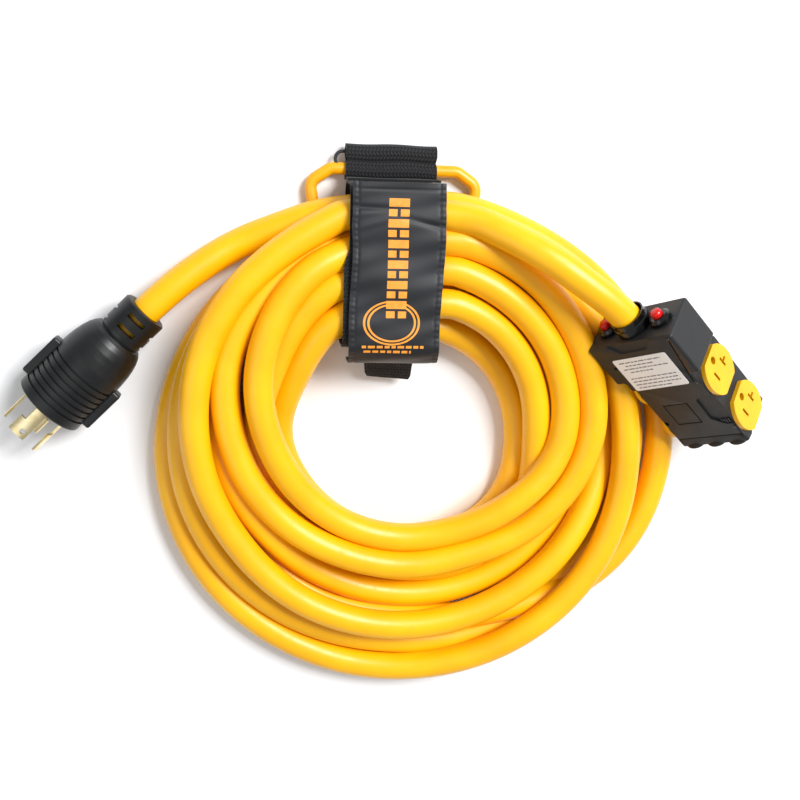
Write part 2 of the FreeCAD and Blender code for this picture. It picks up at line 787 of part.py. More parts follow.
def loop_section(name, grow, bottom, top, inner, outer, wide):
    """a rounded block round the bundle; grow widens it on every side"""
    at = (f"strap_x - ({wide}) / 2", f"{inner} - ({grow})", f"{bottom} - ({grow})")
    lengths = [f"({high}) - ({low}) + 2 * ({grow})" for low, high in ((inner, outer), (bottom, top))]
    block = box(name + "Block", at, wide, *lengths)
    return rounded(name, block, f"strap_round + ({grow})", lambda edge: runs_along(edge, (1, 0, 0)))


def webbing():
    """the band that goes once round the bundle, under it and over it"""
    outer = loop_section("BandOuter", "0", "strap_under", "strap_top", "strap_inner", "strap_outer", "strap_wide")
    inner = loop_section("BandInner", "-strap_thick", "strap_under", "strap_top", "strap_inner", "strap_outer", "strap_wide + 2")
    return boolean("Cut", "Band", outer, inner)


def sleeve():
    """the printed sleeve over the band: along its top and down the inner side, standing off it"""
    outer = loop_section("SleeveOuter", "sleeve_thick", "10", "strap_top + 1.7", "strap_inner - 9", "strap_outer + 9", "sleeve_wide")
    inner = loop_section("SleeveInner", "0", "10", "strap_top + 1.7", "strap_inner - 9", "strap_outer + 9", "sleeve_wide + 2")
    region = box("SleeveRegion", (left, "0", "28"), "strap_wide", "strap_outer", "60")
    return boolean("Common", "SleeveShape", boolean("Cut", "SleeveLoop", outer, inner), region)


ahead = Placement(shift, Rotation())
sub_part(webbing(), "strap_band", ahead)
sub_part(sleeve(), "strap_sleeve", ahead)
for name, low in (("strap_loop_patch", "0.05"), ("strap_hook_patch", "0.85")):
    patch = box(name + "Sheet", ("strap_x - 25", "strap_inner + 25", f"strap_top + {low}"), "50", "60", "0.75")
    sub_part(rounded(name + "Round", patch, "4", lambda edge: runs_along(edge, UP)), name, ahead)


def tab():
    """the pull tab at the strap's loose end, out from under the sleeve"""
    body = doc.addObject("PartDesign::Body", "TabBody")
    pad = body.newObject("PartDesign::Pad", "TabPad")
    behind_sleeve = "strap_inner - 8.8"
    points = [
        (behind_sleeve, "42"),
        (f"{behind_sleeve} + 1.6", "42"),
        (f"{behind_sleeve} + 1.6", "26"),
        ("strap_inner - tab_long + 1", "10.6"),
        ("strap_inner - tab_long", "11.9"),
        (behind_sleeve, "27"),
    ]
    pad.Profile = outline(body, "TabSketch", "YZ_Plane", points, "strap_x - tab_wide / 2")
    pad.setExpression("Length", full("tab_wide"))
    return body


sub_part(tab(), "strap_tab", ahead)


def handle_loop():
    """the webbing sewn round the handle's bar, its turned-back fold, and its seam to the band"""
    sideways = ((0, 1, 0), 90)
    wall = "rod_dia / 2 + 0.35"
    round_bar = primitive("Cylinder", "LoopOuter", (left, "bar_y", "bar_z"), sideways, Radius=f"{wall} + strap_thick", Height="strap_wide")
    fold = primitive("Cylinder", "LoopFold", (left, "fold_y", "bar_z"), sideways, Radius="fold_radius", Height="strap_wide")
    seam = box("LoopSeam", (left, "strap_outer + 0.1", "8"), "strap_wide", "2.6", "24")
    whole = boolean("Fuse", "LoopWhole", round_bar, fold, seam)
    bar = primitive("Cylinder", "LoopBore", (f"{left} - 1", "bar_y", "bar_z"), sideways, Radius=wall, Height="strap_wide + 2")
    return boolean("Cut", "HandleLoop", whole, bar)


sub_part(handle_loop(), "strap_handle_loop", ahead)


def handle():
    """a closed ring of round rod: the bar in the webbing, two shoulders, two legs and a cross bar"""
    half = [(0, 0), (42, 0), (55.5, -9), (50, -44), (38, -60)]
    centre_x = worth("strap_x") + 2.5
    lean = (worth("bar_z") - worth("rod_dia") / 2 - 0.1) / 60
    points = [
        Vector(centre_x + x, worth("bar_y") + y, worth("bar_z") + y * lean)
        for x, y in half + [(-x, y) for x, y in half[:0:-1]] + [(0, 0)]
    ]
    ring, _ = tube(points, worth("rod_dia"), worth("rod_bend"))
    return ring


shape_part("carry_handle", handle(), ahead)


# ---- cable ----
plug_out = plug_axis * -1
plug_start = Vector(worth("plug_x"), worth("plug_y"), worth("plug_z"))
plug_tail = [
    plug_start - plug_out * worth("plug_jacket"),
    plug_start + plug_out * 14,
    Vector(-134, 94, 18.5),
    Vector(-110, 108.5, 13.5),
    Vector(-83, 119.5, 17),
    Vector(-53, 128, 22.5),
    Vector(-20, 134, 22.8),
]
box_turn = Rotation(worth("box_yaw"), worth("box_pitch"), worth("box_roll"))
box_corner = Vector(worth("box_x"), worth("box_y"), worth("box_z"))
box_out = box_turn.multVec(Vector(0, 1, 0))
box_start = box_corner + box_turn.multVec(Vector(middle, 0, -split))
box_tail = [
    box_start - box_out * worth("box_jacket"),
    box_start + box_out * 13,
    Vector(106, 91, 70.5),
    Vector(82, 107, 67),
    Vector(56, 120, 55),
    Vector(29, 129, 43),
    Vector(1, 135, 37),
]
cable = worth("cable_dia")
channels = []
for name, route in (("cord_plug_tail", plug_tail), ("cord_box_tail", box_tail)):
    solid, radii = tube(route, cable)
    print(name, "radii", [round(radius) for radius in radii])
    shape_part(name, solid, ahead)
    channels.append(tube(route, cable + 0.8)[0])


def coil():
    """the outer shape of the wound cable: a ring that is higher towards -X and pinched at the strap"""
    high = worth("coil_high")
    ring = Part.makeCylinder(worth("coil_radius"), high, Vector(worth("coil_x"), worth("coil_y"), 0))
    oval = Part.Ellipse(Vector(worth("hole_x"), worth("hole_y"), -1), worth("hole_long"), worth("hole_short"))
    ring = ring.cut(Part.Face(Part.Wire(oval.toShape())).extrude(Vector(0, 0, high + 2)))
    above = Part.makeBox(800, 800, 100, Vector(-400, -400, 0))
    above.rotate(Vector(), Vector(0, 1, 0), worth("coil_slope"))
    above.translate(Vector(0, 0, high - 8))
    ring = ring.cut(above)
    top = [edge for edge in ring.Edges if edge.CenterOfMass.z > 20 and not runs_along(edge, (0, 0, 1))]
    ring = ring.makeFillet(worth("coil_round"), top)
    # room for the strap all round its inside, and for the handle that lies under the bundle
    off = worth("strap_thick") + 0.4
    low = worth("strap_under") + off
    near = worth("strap_inner") + off
    start = worth("strap_x - strap_wide / 2") - 0.6
    wide = worth("strap_wide") + 1.2
    far = worth("strap_outer") - off
    held = Part.makeBox(wide, far - near, worth("strap_top") - off - low, Vector(start, near, low))
    held = held.makeFillet(worth("strap_round") - off, [edge for edge in held.Edges if runs_along(edge, (1, 0, 0))])
    around = Part.makeBox(wide, 190, 90, Vector(start, 20, -1)).cut(held)
    under = Part.makeBox(126, 80, low + 1, Vector(worth("strap_x") + 2.5 - 63, 90, -1))
    case = Part.makeBox(69, 130, 48, Vector(-2, -114, -42))
    case.Placement = Placement(box_corner, box_turn).multiply(case.Placement)
    return ring.cut([around, under, case, *channels])


wound = coil()
print("coil solids", [round(solid.Volume) for solid in wound.Solids])
shape_part("cord_coil", max(wound.Solids, key=lambda solid: solid.Volume), ahead)


# ---- check and write ----
doc.recompute()
faults = [item.Label for item in doc.Objects if "Invalid" in item.State or "Error" in item.State]
for node in nodes:
    if node.Shape.isNull() or not node.Shape.isValid() or node.Shape.Volume <= 0:
        faults.append(f"{node.Label} has no sound shape")
if faults:
    raise RuntimeError(f"these need repair: {faults}")
os.makedirs("parts", exist_ok=True)
whole = FreeCAD.BoundBox()
for node in nodes:
    node.Shape.exportStep(f"parts/{node.Label}.step")
    whole.add(node.Shape.BoundBox)
print(len(nodes), "nodes", whole)
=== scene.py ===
import json
import math

import bpy
import numpy as np
from mathutils import Matrix, Vector


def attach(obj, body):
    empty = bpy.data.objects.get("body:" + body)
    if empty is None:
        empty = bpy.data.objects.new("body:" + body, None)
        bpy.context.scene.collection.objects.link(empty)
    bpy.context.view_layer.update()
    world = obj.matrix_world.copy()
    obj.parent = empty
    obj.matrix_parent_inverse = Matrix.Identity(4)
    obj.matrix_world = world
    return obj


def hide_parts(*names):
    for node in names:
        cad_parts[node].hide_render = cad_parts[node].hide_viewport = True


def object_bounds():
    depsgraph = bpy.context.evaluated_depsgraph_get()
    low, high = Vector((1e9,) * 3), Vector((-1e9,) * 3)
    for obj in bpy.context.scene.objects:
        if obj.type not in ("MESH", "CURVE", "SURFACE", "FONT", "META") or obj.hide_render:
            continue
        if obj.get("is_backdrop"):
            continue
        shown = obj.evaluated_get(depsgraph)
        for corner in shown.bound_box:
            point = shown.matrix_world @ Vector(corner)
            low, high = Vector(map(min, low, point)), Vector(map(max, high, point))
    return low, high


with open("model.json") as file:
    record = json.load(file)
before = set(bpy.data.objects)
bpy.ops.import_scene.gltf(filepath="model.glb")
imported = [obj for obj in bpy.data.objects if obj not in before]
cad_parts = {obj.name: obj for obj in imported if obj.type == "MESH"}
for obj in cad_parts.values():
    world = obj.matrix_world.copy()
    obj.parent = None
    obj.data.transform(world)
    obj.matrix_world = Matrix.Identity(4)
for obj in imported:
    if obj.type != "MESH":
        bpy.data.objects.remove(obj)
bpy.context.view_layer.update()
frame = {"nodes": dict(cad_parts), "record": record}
frameShift = Vector((0.00914, 0.0193, 0))  # from the middle of the coil's plan to the part's origin

view = {"distance": 0.7, "lean": 13.0, "turn": 8.0, "lens": 44.9, "sensor": 36.0, "farthest": 20}


def makeCamera():
    lean, turn = math.radians(view["lean"]), math.radians(view["turn"])
    back = Vector((-math.sin(turn) * math.cos(lean), math.sin(lean), math.cos(lean) * math.cos(turn)))
    back.normalize()
    right = (Vector((1, 0, 0)) - back * back.x).normalized()
    up = back.cross(right)
    bpy.ops.object.camera_add()
    camera = bpy.context.object
    camera.name = "camera"
    camera.matrix_world = Matrix((right, up, back)).transposed().to_4x4()
    camera.location = frameShift + back * view["distance"]
    camera.data.lens = view["lens"]
    camera.data.sensor_width = view["sensor"]
    camera.data.clip_end = view["farthest"]
    bpy.context.scene.camera = camera


makeCamera()
print("camera is set")

cable = {
    "diameter": 0.0196,
    "coilCentre": (0.0, -0.022),
    "plug": (-0.1695, 0.0642, 0.0236),
    "plugHeading": 224.6,
    "jacketInPlug": 0.020,
    "straightAtPlug": 0.014,
    "boxCorner": (0.1164, 0.0445, 0.0507),
    "boxTurn": (29.8, -52.7, 19.6),
    "jacketInBox": 0.021,
    "straightAtBox": 0.013,
    "boxMiddle": 0.032,
    "boxSplit": 0.016,
    "length": 7.45,
}

# one turn per row, in the order that they were wound: distance from the coil's centre and height at each
# station, in millimetres; stations are degrees clockwise from the strap
stations = list(range(30, 360, 30))
pointEvery = 10.0
turns = {
    "i": ([161, 175, 187, 183, 154, 136, 132, 118, 107, 97, 94], [13, 10, 10, 10, 10, 10, 10, 10, 10, 10, 16]),
    "e": ([82, 83, 86, 92, 85, 78, 76, 80, 88, 92, 100], [17, 10, 10, 10, 10, 10, 10, 10, 10, 22, 38]),
    "d": ([99, 95, 91, 98, 104, 99, 95, 97, 100, 100, 117], [39, 33, 27, 19, 12, 10, 10, 12, 23, 31, 41]),
    "c": ([119, 115, 106, 85, 74, 70, 70, 76, 90, 114, 138], [41, 35, 31, 35, 28, 26, 28, 33, 40, 43, 42]),
    "b": ([141, 134, 127, 109, 92, 88, 89, 99, 114, 131, 136], [42, 39, 36, 34, 32, 30, 30, 28, 28, 26, 22]),
    "h": ([145, 153, 157, 166, 168, 174, 170, 164, 157, 149, 144], [20, 20, 26, 27, 28, 13, 10, 10, 10, 10, 18]),
    "g": ([131, 151, 166, 167, 163, 154, 151, 150, 149, 147, 133], [19, 10, 10, 10, 10, 10, 14, 20, 26, 24, 22]),
    "f": ([106, 112, 122, 129, 124, 117, 113, 115, 125, 134, 127], [19, 10, 10, 10, 10, 10, 12, 18, 24, 24, 22]),
    "a": ([117, 132, 144, 142, 138, 135, 133, 132, 139, 149, 153], [19, 10, 10, 24, 28, 29, 30, 34, 41, 42, 41]),
}
# where each turn leaves the strap on its right (y, z) and comes back to it on its left
strapRight = {"i": (134, 24), "e": (58, 23), "d": (76, 41), "c": (98, 41), "b": (121, 41),
              "h": (117, 23), "g": (103, 23), "f": (74, 23), "a": (88, 23)}
strapLeft = {"i": (58, 23), "e": (67, 38), "d": (87.7, 41), "c": (111, 41), "b": (106, 23),
             "h": (120, 23), "g": (92, 23), "f": (78, 23), "a": (128, 38)}
strapSides = (20.0, -43.0)
# where the band holds the turns, on the strap's side of the coil only
strapRoom = {"x": (-0.047, 0.024), "y": (0.0572, 0.1374), "z": (0.0232, 0.0406), "side": 0.03}
relax = {
    "steps": 260, "closest": 0.985, "neighbours": 5, "push": 0.35, "longest": 0.002,
    "smooth": 0.5, "keep": [0.97, 0.97, 0.99],
}


def mm(*values):
    return Vector([value / 1000 for value in values])


def boxMatrix():
    yaw, pitch, roll = (math.radians(angle) for angle in cable["boxTurn"])
    turn = Matrix.Rotation(yaw, 3, "Z") @ Matrix.Rotation(pitch, 3, "Y") @ Matrix.Rotation(roll, 3, "X")
    return Matrix.Translation(frameShift + Vector(cable["boxCorner"])) @ turn.to_4x4()


def plugMatrix():
    heading = math.radians(cable["plugHeading"])
    along = Vector((math.cos(heading), math.sin(heading), 0))
    up = Vector((0, 0, 1))
    turn = Matrix((up, along.cross(up), along)).transposed().to_4x4()
    return Matrix.Translation(frameShift + Vector(cable["plug"])) @ turn


def plugTail():
    place = plugMatrix()
    start = place.translation - frameShift
    out = -(place.to_3x3() @ Vector((0, 0, 1)))
    return [
        start - out * cable["jacketInPlug"],
        start + out * cable["straightAtPlug"],
        mm(-134, 94, 18.5),
        mm(-110, 108.5, 13.5),
        mm(-83, 119.5, 17),
        mm(-53, 128, 22.5),
    ]


def boxTail():
    place = boxMatrix()
    start = place @ Vector((cable["boxMiddle"], 0, -cable["boxSplit"])) - frameShift
    out = place.to_3x3() @ Vector((0, 1, 0))
    return [
        start - out * cable["jacketInBox"],
        start + out * cable["straightAtBox"],
        mm(106, 91, 70.5),
        mm(82, 107, 67),
        mm(56, 120, 55),
        mm(29, 129, 43),
    ]


def smoothed(at, places, values):
    # Catmull-Rom through the values at uneven places
    index = int(np.clip(np.searchsorted(places, at) - 1, 0, len(places) - 2))
    before, after = max(index - 1, 0), min(index + 2, len(places) - 1)
    span = places[index + 1] - places[index]
    slopes = [
        (values[index + 1] - values[before]) / (places[index + 1] - places[before]),
        (values[after] - values[index]) / (places[after] - places[index]),
    ]
    t = float(np.clip((at - places[index]) / span, 0, 1))
    return (
        (2 * t**3 - 3 * t**2 + 1) * values[index]
        + (t**3 - 2 * t**2 + t) * span * slopes[0]
        + (3 * t**2 - 2 * t**3) * values[index + 1]
        + (t**3 - t**2) * span * slopes[1]
    )


def layCoil():
    # control points of all turns, from the strap to the strap
    centreX, centreY = cable["coilCentre"]
    points = []
    for name, (radii, heights) in turns.items():
        lanes = []
        for side, (y, z) in ((0, strapRight[name]), (1, strapLeft[name])):
            x = strapSides[side] / 1000 - centreX
            away = y / 1000 - centreY
            lanes.append((math.degrees(math.atan2(x, away)) % 360, math.hypot(x, away) * 1000, z))
        angles = [lanes[0][0], *stations, lanes[1][0]]
        allRadii = [lanes[0][1], *radii, lanes[1][1]]
        allHeights = [lanes[0][2], *heights, lanes[1][2]]
        for angle in np.arange(angles[0], angles[-1], pointEvery):
            radius = smoothed(angle, angles, allRadii) / 1000
            height = smoothed(angle, angles, allHeights) / 1000
            turn = math.radians(angle)
            points.append((centreX + radius * math.sin(turn), centreY + radius * math.cos(turn), height))
        points.append((strapSides[1] / 1000, strapLeft[name][0] / 1000, strapLeft[name][1] / 1000))
    return np.array(points)


def settle(points, fixedStart, fixedEnd):
    # pushes turns that lie in each other apart, and keeps the line smooth, above the floor and in its strap
    at = points.copy()
    home = points.copy()
    wide = cable["diameter"] * relax["closest"]
    count = len(at)
    index = np.arange(count)
    for step in range(relax["steps"]):
        gap = at[:, None] - at[None]
        far = np.linalg.norm(gap, axis=2)
        near = (far < wide) & (np.abs(index[:, None] - index[None]) > relax["neighbours"])
        push = np.where(near, (wide - far) / np.maximum(far, 1e-6), 0)
        move = (gap * push[..., None]).sum(1) * relax["push"]
        at += np.clip(move, -relax["longest"], relax["longest"])
        shift = at - home
        middle = (np.roll(shift, 1, 0) + np.roll(shift, -1, 0)) / 2
        at = home + (shift + (middle - shift) * relax["smooth"]) * np.array(relax["keep"])
        at[:, 2] = np.maximum(at[:, 2], cable["diameter"] / 2)
        held = (at[:, 0] > strapRoom["x"][0]) & (at[:, 0] < strapRoom["x"][1]) & (at[:, 1] > strapRoom["side"])
        at[:, 1] = np.where(held, np.clip(at[:, 1], *strapRoom["y"]), at[:, 1])
        at[:, 2] = np.where(held, np.clip(at[:, 2], *strapRoom["z"]), at[:, 2])
        at[:fixedStart] = home[:fixedStart]
        at[count - fixedEnd:] = home[count - fixedEnd:]
    return at


def makeCord():
    first = [tuple(point) for point in plugTail()]
    last = [tuple(point) for point in boxTail()][::-1]
    points = np.array(first + [tuple(point) for point in layCoil()] + last)
    route = settle(points, len(first) - 1, len(last) - 1)[::-1]  # from the box to the plug
    curve = bpy.data.curves.new("cable", "CURVE")
    curve.dimensions = "3D"
    spline = curve.splines.new("NURBS")
    spline.points.add(len(route) - 1)
    for point, place in zip(spline.points, route):
        point.co = (*(Vector(place) + frameShift), 1)
        point.radius = cable["diameter"] / 2  # with a bevel of 1 m, so that the curve's own box is the cable's
    spline.order_u = 3
    spline.use_endpoint_u = True
    curve.resolution_u = 6
    curve.bevel_depth = 1
    curve.bevel_resolution = 8
    curve.use_fill_caps = True
    cord = bpy.data.objects.new("cable", curve)
    bpy.context.scene.collection.objects.link(cord)
    bpy.context.view_layer.update()
    print("cable length", round(spline.calc_length(), 3))
    return cord


cord = makeCord()
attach(cord, "cord")
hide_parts("cord_coil", "cord_plug_tail", "cord_box_tail")
print("cable is laid")


def hexColour(text):
    # an sRGB hex value as linear numbers
    parts = [int(text[i:i + 2], 16) / 255 for i in (0, 2, 4)]
    return (*[p / 12.92 if p <= 0.04045 else ((p + 0.055) / 1.055) ** 2.4 for p in parts], 1.0)


def newMaterial(name, **sockets):
    material = bpy.data.materials.new(name)
    material.use_nodes = True
    tree = material.node_tree
    shader = tree.nodes["Principled BSDF"]
    for socket, value in sockets.items():
        shader.inputs[socket].default_value = value
    return material, tree, shader


def addNode(tree, kind, settings=None, links=None):
    # a node with its settings, by attribute or by input, and its links from other nodes' outputs
    node = tree.nodes.new(kind)
    for name, value in (settings or {}).items():
        if isinstance(name, int) or name in node.inputs:
            node.inputs[name].default_value = value
        else:
            setattr(node, name, value)
    for name, source in (links or {}).items():
        tree.links.new(source, node.inputs[name])
    return node


def noisyPlastic(name, colour, darker, grainMm, blotchMm, rough, bump, **sockets):
    # a moulded or extruded plastic: slow colour blotches, gloss that changes with them, fine surface grain
    material, tree, shader = newMaterial(name, **sockets)
    place = addNode(tree, "ShaderNodeTexCoord").outputs["Object"]
    blotch = addNode(tree, "ShaderNodeTexNoise", {"Scale": 1000 / blotchMm, "Detail": 4, "Roughness": 0.6},
                     {"Vector": place})
    grain = addNode(tree, "ShaderNodeTexNoise", {"Scale": 1000 / grainMm, "Detail": 3, "Roughness": 0.55},
                    {"Vector": place})
    ramp = addNode(tree, "ShaderNodeValToRGB", {}, {"Fac": blotch.outputs["Fac"]})
    ramp.color_ramp.elements[0].position = 0.3
    ramp.color_ramp.elements[1].position = 0.7
    ramp.color_ramp.elements[0].color = hexColour(darker)
    ramp.color_ramp.elements[1].color = hexColour(colour)
    gloss = addNode(tree, "ShaderNodeMapRange",
                    {"From Min": 0.3, "From Max": 0.7, "To Min": rough[0], "To Max": rough[1]},
                    {"Value": blotch.outputs["Fac"]})
    height = addNode(tree, "ShaderNodeBump", {"Strength": bump, "Distance": grainMm / 1000 * 0.3},
                     {"Height": grain.outputs["Fac"]})
    tree.links.new(ramp.outputs["Color"], shader.inputs["Base Color"])
    tree.links.new(gloss.outputs["Result"], shader.inputs["Roughness"])
    tree.links.new(height.outputs["Normal"], shader.inputs["Normal"])
    return material


def cableJacket():
    # extruded soft PVC: deep yellow, satin, with faint scuffs across its crowns from being dragged and coiled
    material, tree, shader = newMaterial("extruded yellow PVC")
    shader.inputs["IOR"].default_value = 1.53
    shader.inputs["Specular IOR Level"].default_value = 0.42
    shader.inputs["Coat Weight"].default_value = 0.12
    shader.inputs["Coat Roughness"].default_value = 0.3
    place = addNode(tree, "ShaderNodeTexCoord").outputs["Object"]
    slow = addNode(tree, "ShaderNodeTexNoise", {"Scale": 22.0, "Detail": 3}, {"Vector": place})
    scuff = addNode(tree, "ShaderNodeTexNoise", {"Scale": 190.0, "Detail": 6, "Roughness": 0.7, "Distortion": 0.8},
                    {"Vector": place})
    pores = addNode(tree, "ShaderNodeTexNoise", {"Scale": 1400.0, "Detail": 2}, {"Vector": place})
    tone = addNode(tree, "ShaderNodeValToRGB", {}, {"Fac": slow.outputs["Fac"]})
    tone.color_ramp.elements[0].position = 0.35
    tone.color_ramp.elements[1].position = 0.68
    tone.color_ramp.elements[0].color = hexColour("F4B000")
    tone.color_ramp.elements[1].color = hexColour("FDBD02")
    marks = addNode(tree, "ShaderNodeMapRange", {"From Min": 0.6, "From Max": 0.74, "To Min": 0.0, "To Max": 0.3},
                    {"Value": scuff.outputs["Fac"]})
    mixed = addNode(tree, "ShaderNodeMix", {"data_type": "RGBA"}, {"Factor": marks.outputs["Result"]})
    tree.links.new(tone.outputs["Color"], mixed.inputs[6])
    mixed.inputs[7].default_value = hexColour("DE9800")
    gloss = addNode(tree, "ShaderNodeMapRange", {"From Min": 0.35, "From Max": 0.7, "To Min": 0.33, "To Max": 0.52},
                    {"Value": scuff.outputs["Fac"]})
    lump = addNode(tree, "ShaderNodeBump", {"Strength": 0.35, "Distance": 0.0012}, {"Height": slow.outputs["Fac"]})
    fine = addNode(tree, "ShaderNodeBump", {"Strength": 0.12, "Distance": 0.0003},
                   {"Height": pores.outputs["Fac"], "Normal": lump.outputs["Normal"]})
    tree.links.new(mixed.outputs[2], shader.inputs["Base Color"])
    tree.links.new(gloss.outputs["Result"], shader.inputs["Roughness"])
    tree.links.new(fine.outputs["Normal"], shader.inputs["Normal"])
    return material


def webbingCloth(name, colour, paintedCrestHighlight, rowMm, stitchMm):
    # woven polypropylene webbing: rows of slanted yarns that meet in V's, matt with a small sheen on each yarn, with
    # painted shade in the hollows between the yarns and a painted highlight on their crests
    material, tree, shader = newMaterial(name)
    shader.inputs["Sheen Weight"].default_value = 0.08
    shader.inputs["Sheen Roughness"].default_value = 0.5
    shader.inputs["Specular IOR Level"].default_value = 0.35
    uv = addNode(tree, "ShaderNodeUVMap", {"uv_map": "UVMap"}).outputs["UV"]
    parts = addNode(tree, "ShaderNodeSeparateXYZ", {}, {"Vector": uv})
    across = addNode(tree, "ShaderNodeMath", {"operation": "MULTIPLY", 1: 1 / stitchMm}, {0: parts.outputs["X"]})
    along = addNode(tree, "ShaderNodeMath", {"operation": "MULTIPLY", 1: 1 / rowMm}, {0: parts.outputs["Y"]})
    fold = addNode(tree, "ShaderNodeMath", {"operation": "PINGPONG", 1: 1.0}, {0: along.outputs[0]})
    phase = addNode(tree, "ShaderNodeMath", {"operation": "ADD"}, {0: across.outputs[0], 1: fold.outputs[0]})
    yarn = addNode(tree, "ShaderNodeMath", {"operation": "PINGPONG", 1: 0.5}, {0: phase.outputs[0]})
    rib = addNode(tree, "ShaderNodeMath", {"operation": "PINGPONG", 1: 0.5}, {0: along.outputs[0]})
    crest = addNode(tree, "ShaderNodeMapRange", {"From Min": 0.0, "From Max": 0.26, "To Min": 0.15, "To Max": 1.0},
                    {"Value": rib.outputs[0]})
    height = addNode(tree, "ShaderNodeMath", {"operation": "MULTIPLY"},
                     {0: yarn.outputs[0], 1: crest.outputs["Result"]})
    place = addNode(tree, "ShaderNodeTexCoord").outputs["Object"]
    fuzz = addNode(tree, "ShaderNodeTexNoise", {"Scale": 420.0, "Detail": 4, "Roughness": 0.7}, {"Vector": place})
    raised = addNode(tree, "ShaderNodeMath", {"operation": "MULTIPLY_ADD", 1: 0.25},
                     {0: fuzz.outputs["Fac"], 2: height.outputs[0]})
    # painted shade and highlight: the colour follows the weave's height, near black in the hollows between the yarns
    # and lightest on their crests
    tone = addNode(tree, "ShaderNodeValToRGB", {}, {"Fac": raised.outputs[0]})
    tone.color_ramp.elements[0].position = 0.16
    tone.color_ramp.elements[1].position = 0.62
    tone.color_ramp.elements[0].color = hexColour("020203")
    tone.color_ramp.elements[1].color = hexColour(paintedCrestHighlight)
    middle = tone.color_ramp.elements.new(0.42)
    middle.color = hexColour(colour)
    bump = addNode(tree, "ShaderNodeBump", {"Strength": 0.9, "Distance": 0.0007}, {"Height": raised.outputs[0]})
    tree.links.new(tone.outputs["Color"], shader.inputs["Base Color"])
    tree.links.new(bump.outputs["Normal"], shader.inputs["Normal"])
    shader.inputs["Roughness"].default_value = 0.72
    return material


def sleeveCloth():
    # plain-woven coated nylon: slate with a blue cast and a soft sheen
    material, tree, shader = newMaterial("slate coated nylon")
    shader.inputs["Sheen Weight"].default_value = 0.12
    shader.inputs["Sheen Roughness"].default_value = 0.4
    shader.inputs["Roughness"].default_value = 0.55
    uv = addNode(tree, "ShaderNodeUVMap", {"uv_map": "UVMap"}).outputs["UV"]
    parts = addNode(tree, "ShaderNodeSeparateXYZ", {}, {"Vector": uv})
    threadMm = 0.6
    heights = []
    for axis in ("X", "Y"):
        thread = addNode(tree, "ShaderNodeMath", {"operation": "MULTIPLY", 1: 1 / threadMm}, {0: parts.outputs[axis]})
        heights.append(addNode(tree, "ShaderNodeMath", {"operation": "PINGPONG", 1: 0.5}, {0: thread.outputs[0]}))
    weave = addNode(tree, "ShaderNodeMath", {"operation": "MULTIPLY"},
                    {0: heights[0].outputs[0], 1: heights[1].outputs[0]})
    place = addNode(tree, "ShaderNodeTexCoord").outputs["Object"]
    slow = addNode(tree, "ShaderNodeTexNoise", {"Scale": 38.0, "Detail": 4}, {"Vector": place})
    tone = addNode(tree, "ShaderNodeValToRGB", {}, {"Fac": slow.outputs["Fac"]})
    tone.color_ramp.elements[0].position = 0.35
    tone.color_ramp.elements[1].position = 0.7
    tone.color_ramp.elements[0].color = hexColour("0E0F13")
    tone.color_ramp.elements[1].color = hexColour("171920")
    # painted shade: the lower end, that bends down the coil's inner side away from the light, is painted darker
    paintedShadeFade = addNode(tree, "ShaderNodeMapRange", {"From Min": 8.0, "From Max": 70.0, "To Min": 0.15, "To Max": 1.0},
                   {"Value": parts.outputs["Y"]})
    mixed = addNode(tree, "ShaderNodeMix", {"data_type": "RGBA"}, {"Factor": paintedShadeFade.outputs["Result"]})
    mixed.inputs[6].default_value = hexColour("0A0A0C")
    tree.links.new(tone.outputs["Color"], mixed.inputs[7])
    bump = addNode(tree, "ShaderNodeBump", {"Strength": 0.35, "Distance": 0.0002}, {"Height": weave.outputs[0]})
    tree.links.new(mixed.outputs[2], shader.inputs["Base Color"])
    tree.links.new(bump.outputs["Normal"], shader.inputs["Normal"])
    return material


def brushedMetal(name, colour, darker, rough):
    # stamped sheet metal: slight tarnish, and rolling marks that run the plug's way
    material, tree, shader = newMaterial(name, Metallic=1.0)
    rolled = math.radians(180 - cable["plugHeading"])
    place = addNode(tree, "ShaderNodeTexCoord").outputs["Object"]
    stretched = addNode(tree, "ShaderNodeMapping", {"Rotation": (0, 0, rolled), "Scale": (0.12, 1, 1)},
                        {"Vector": place})
    lines = addNode(tree, "ShaderNodeTexNoise", {"Scale": 900.0, "Detail": 5}, {"Vector": stretched.outputs["Vector"]})
    tarnish = addNode(tree, "ShaderNodeTexNoise", {"Scale": 120.0, "Detail": 4}, {"Vector": place})
    tone = addNode(tree, "ShaderNodeValToRGB", {}, {"Fac": tarnish.outputs["Fac"]})
    tone.color_ramp.elements[0].position = 0.3
    tone.color_ramp.elements[1].position = 0.6
    tone.color_ramp.elements[0].color = hexColour(darker)
    tone.color_ramp.elements[1].color = hexColour(colour)
    gloss = addNode(tree, "ShaderNodeMapRange", {"To Min": rough * 0.7, "To Max": rough * 1.3},
                    {"Value": lines.outputs["Fac"]})
    bump = addNode(tree, "ShaderNodeBump", {"Strength": 0.15, "Distance": 0.0001}, {"Height": lines.outputs["Fac"]})
    tree.links.new(tone.outputs["Color"], shader.inputs["Base Color"])
    tree.links.new(gloss.outputs["Result"], shader.inputs["Roughness"])
    tree.links.new(bump.outputs["Normal"], shader.inputs["Normal"])
    return material


webbing = {"width": 60, "wall": 0.0016, "row": 2.5, "stitch": 2.3}

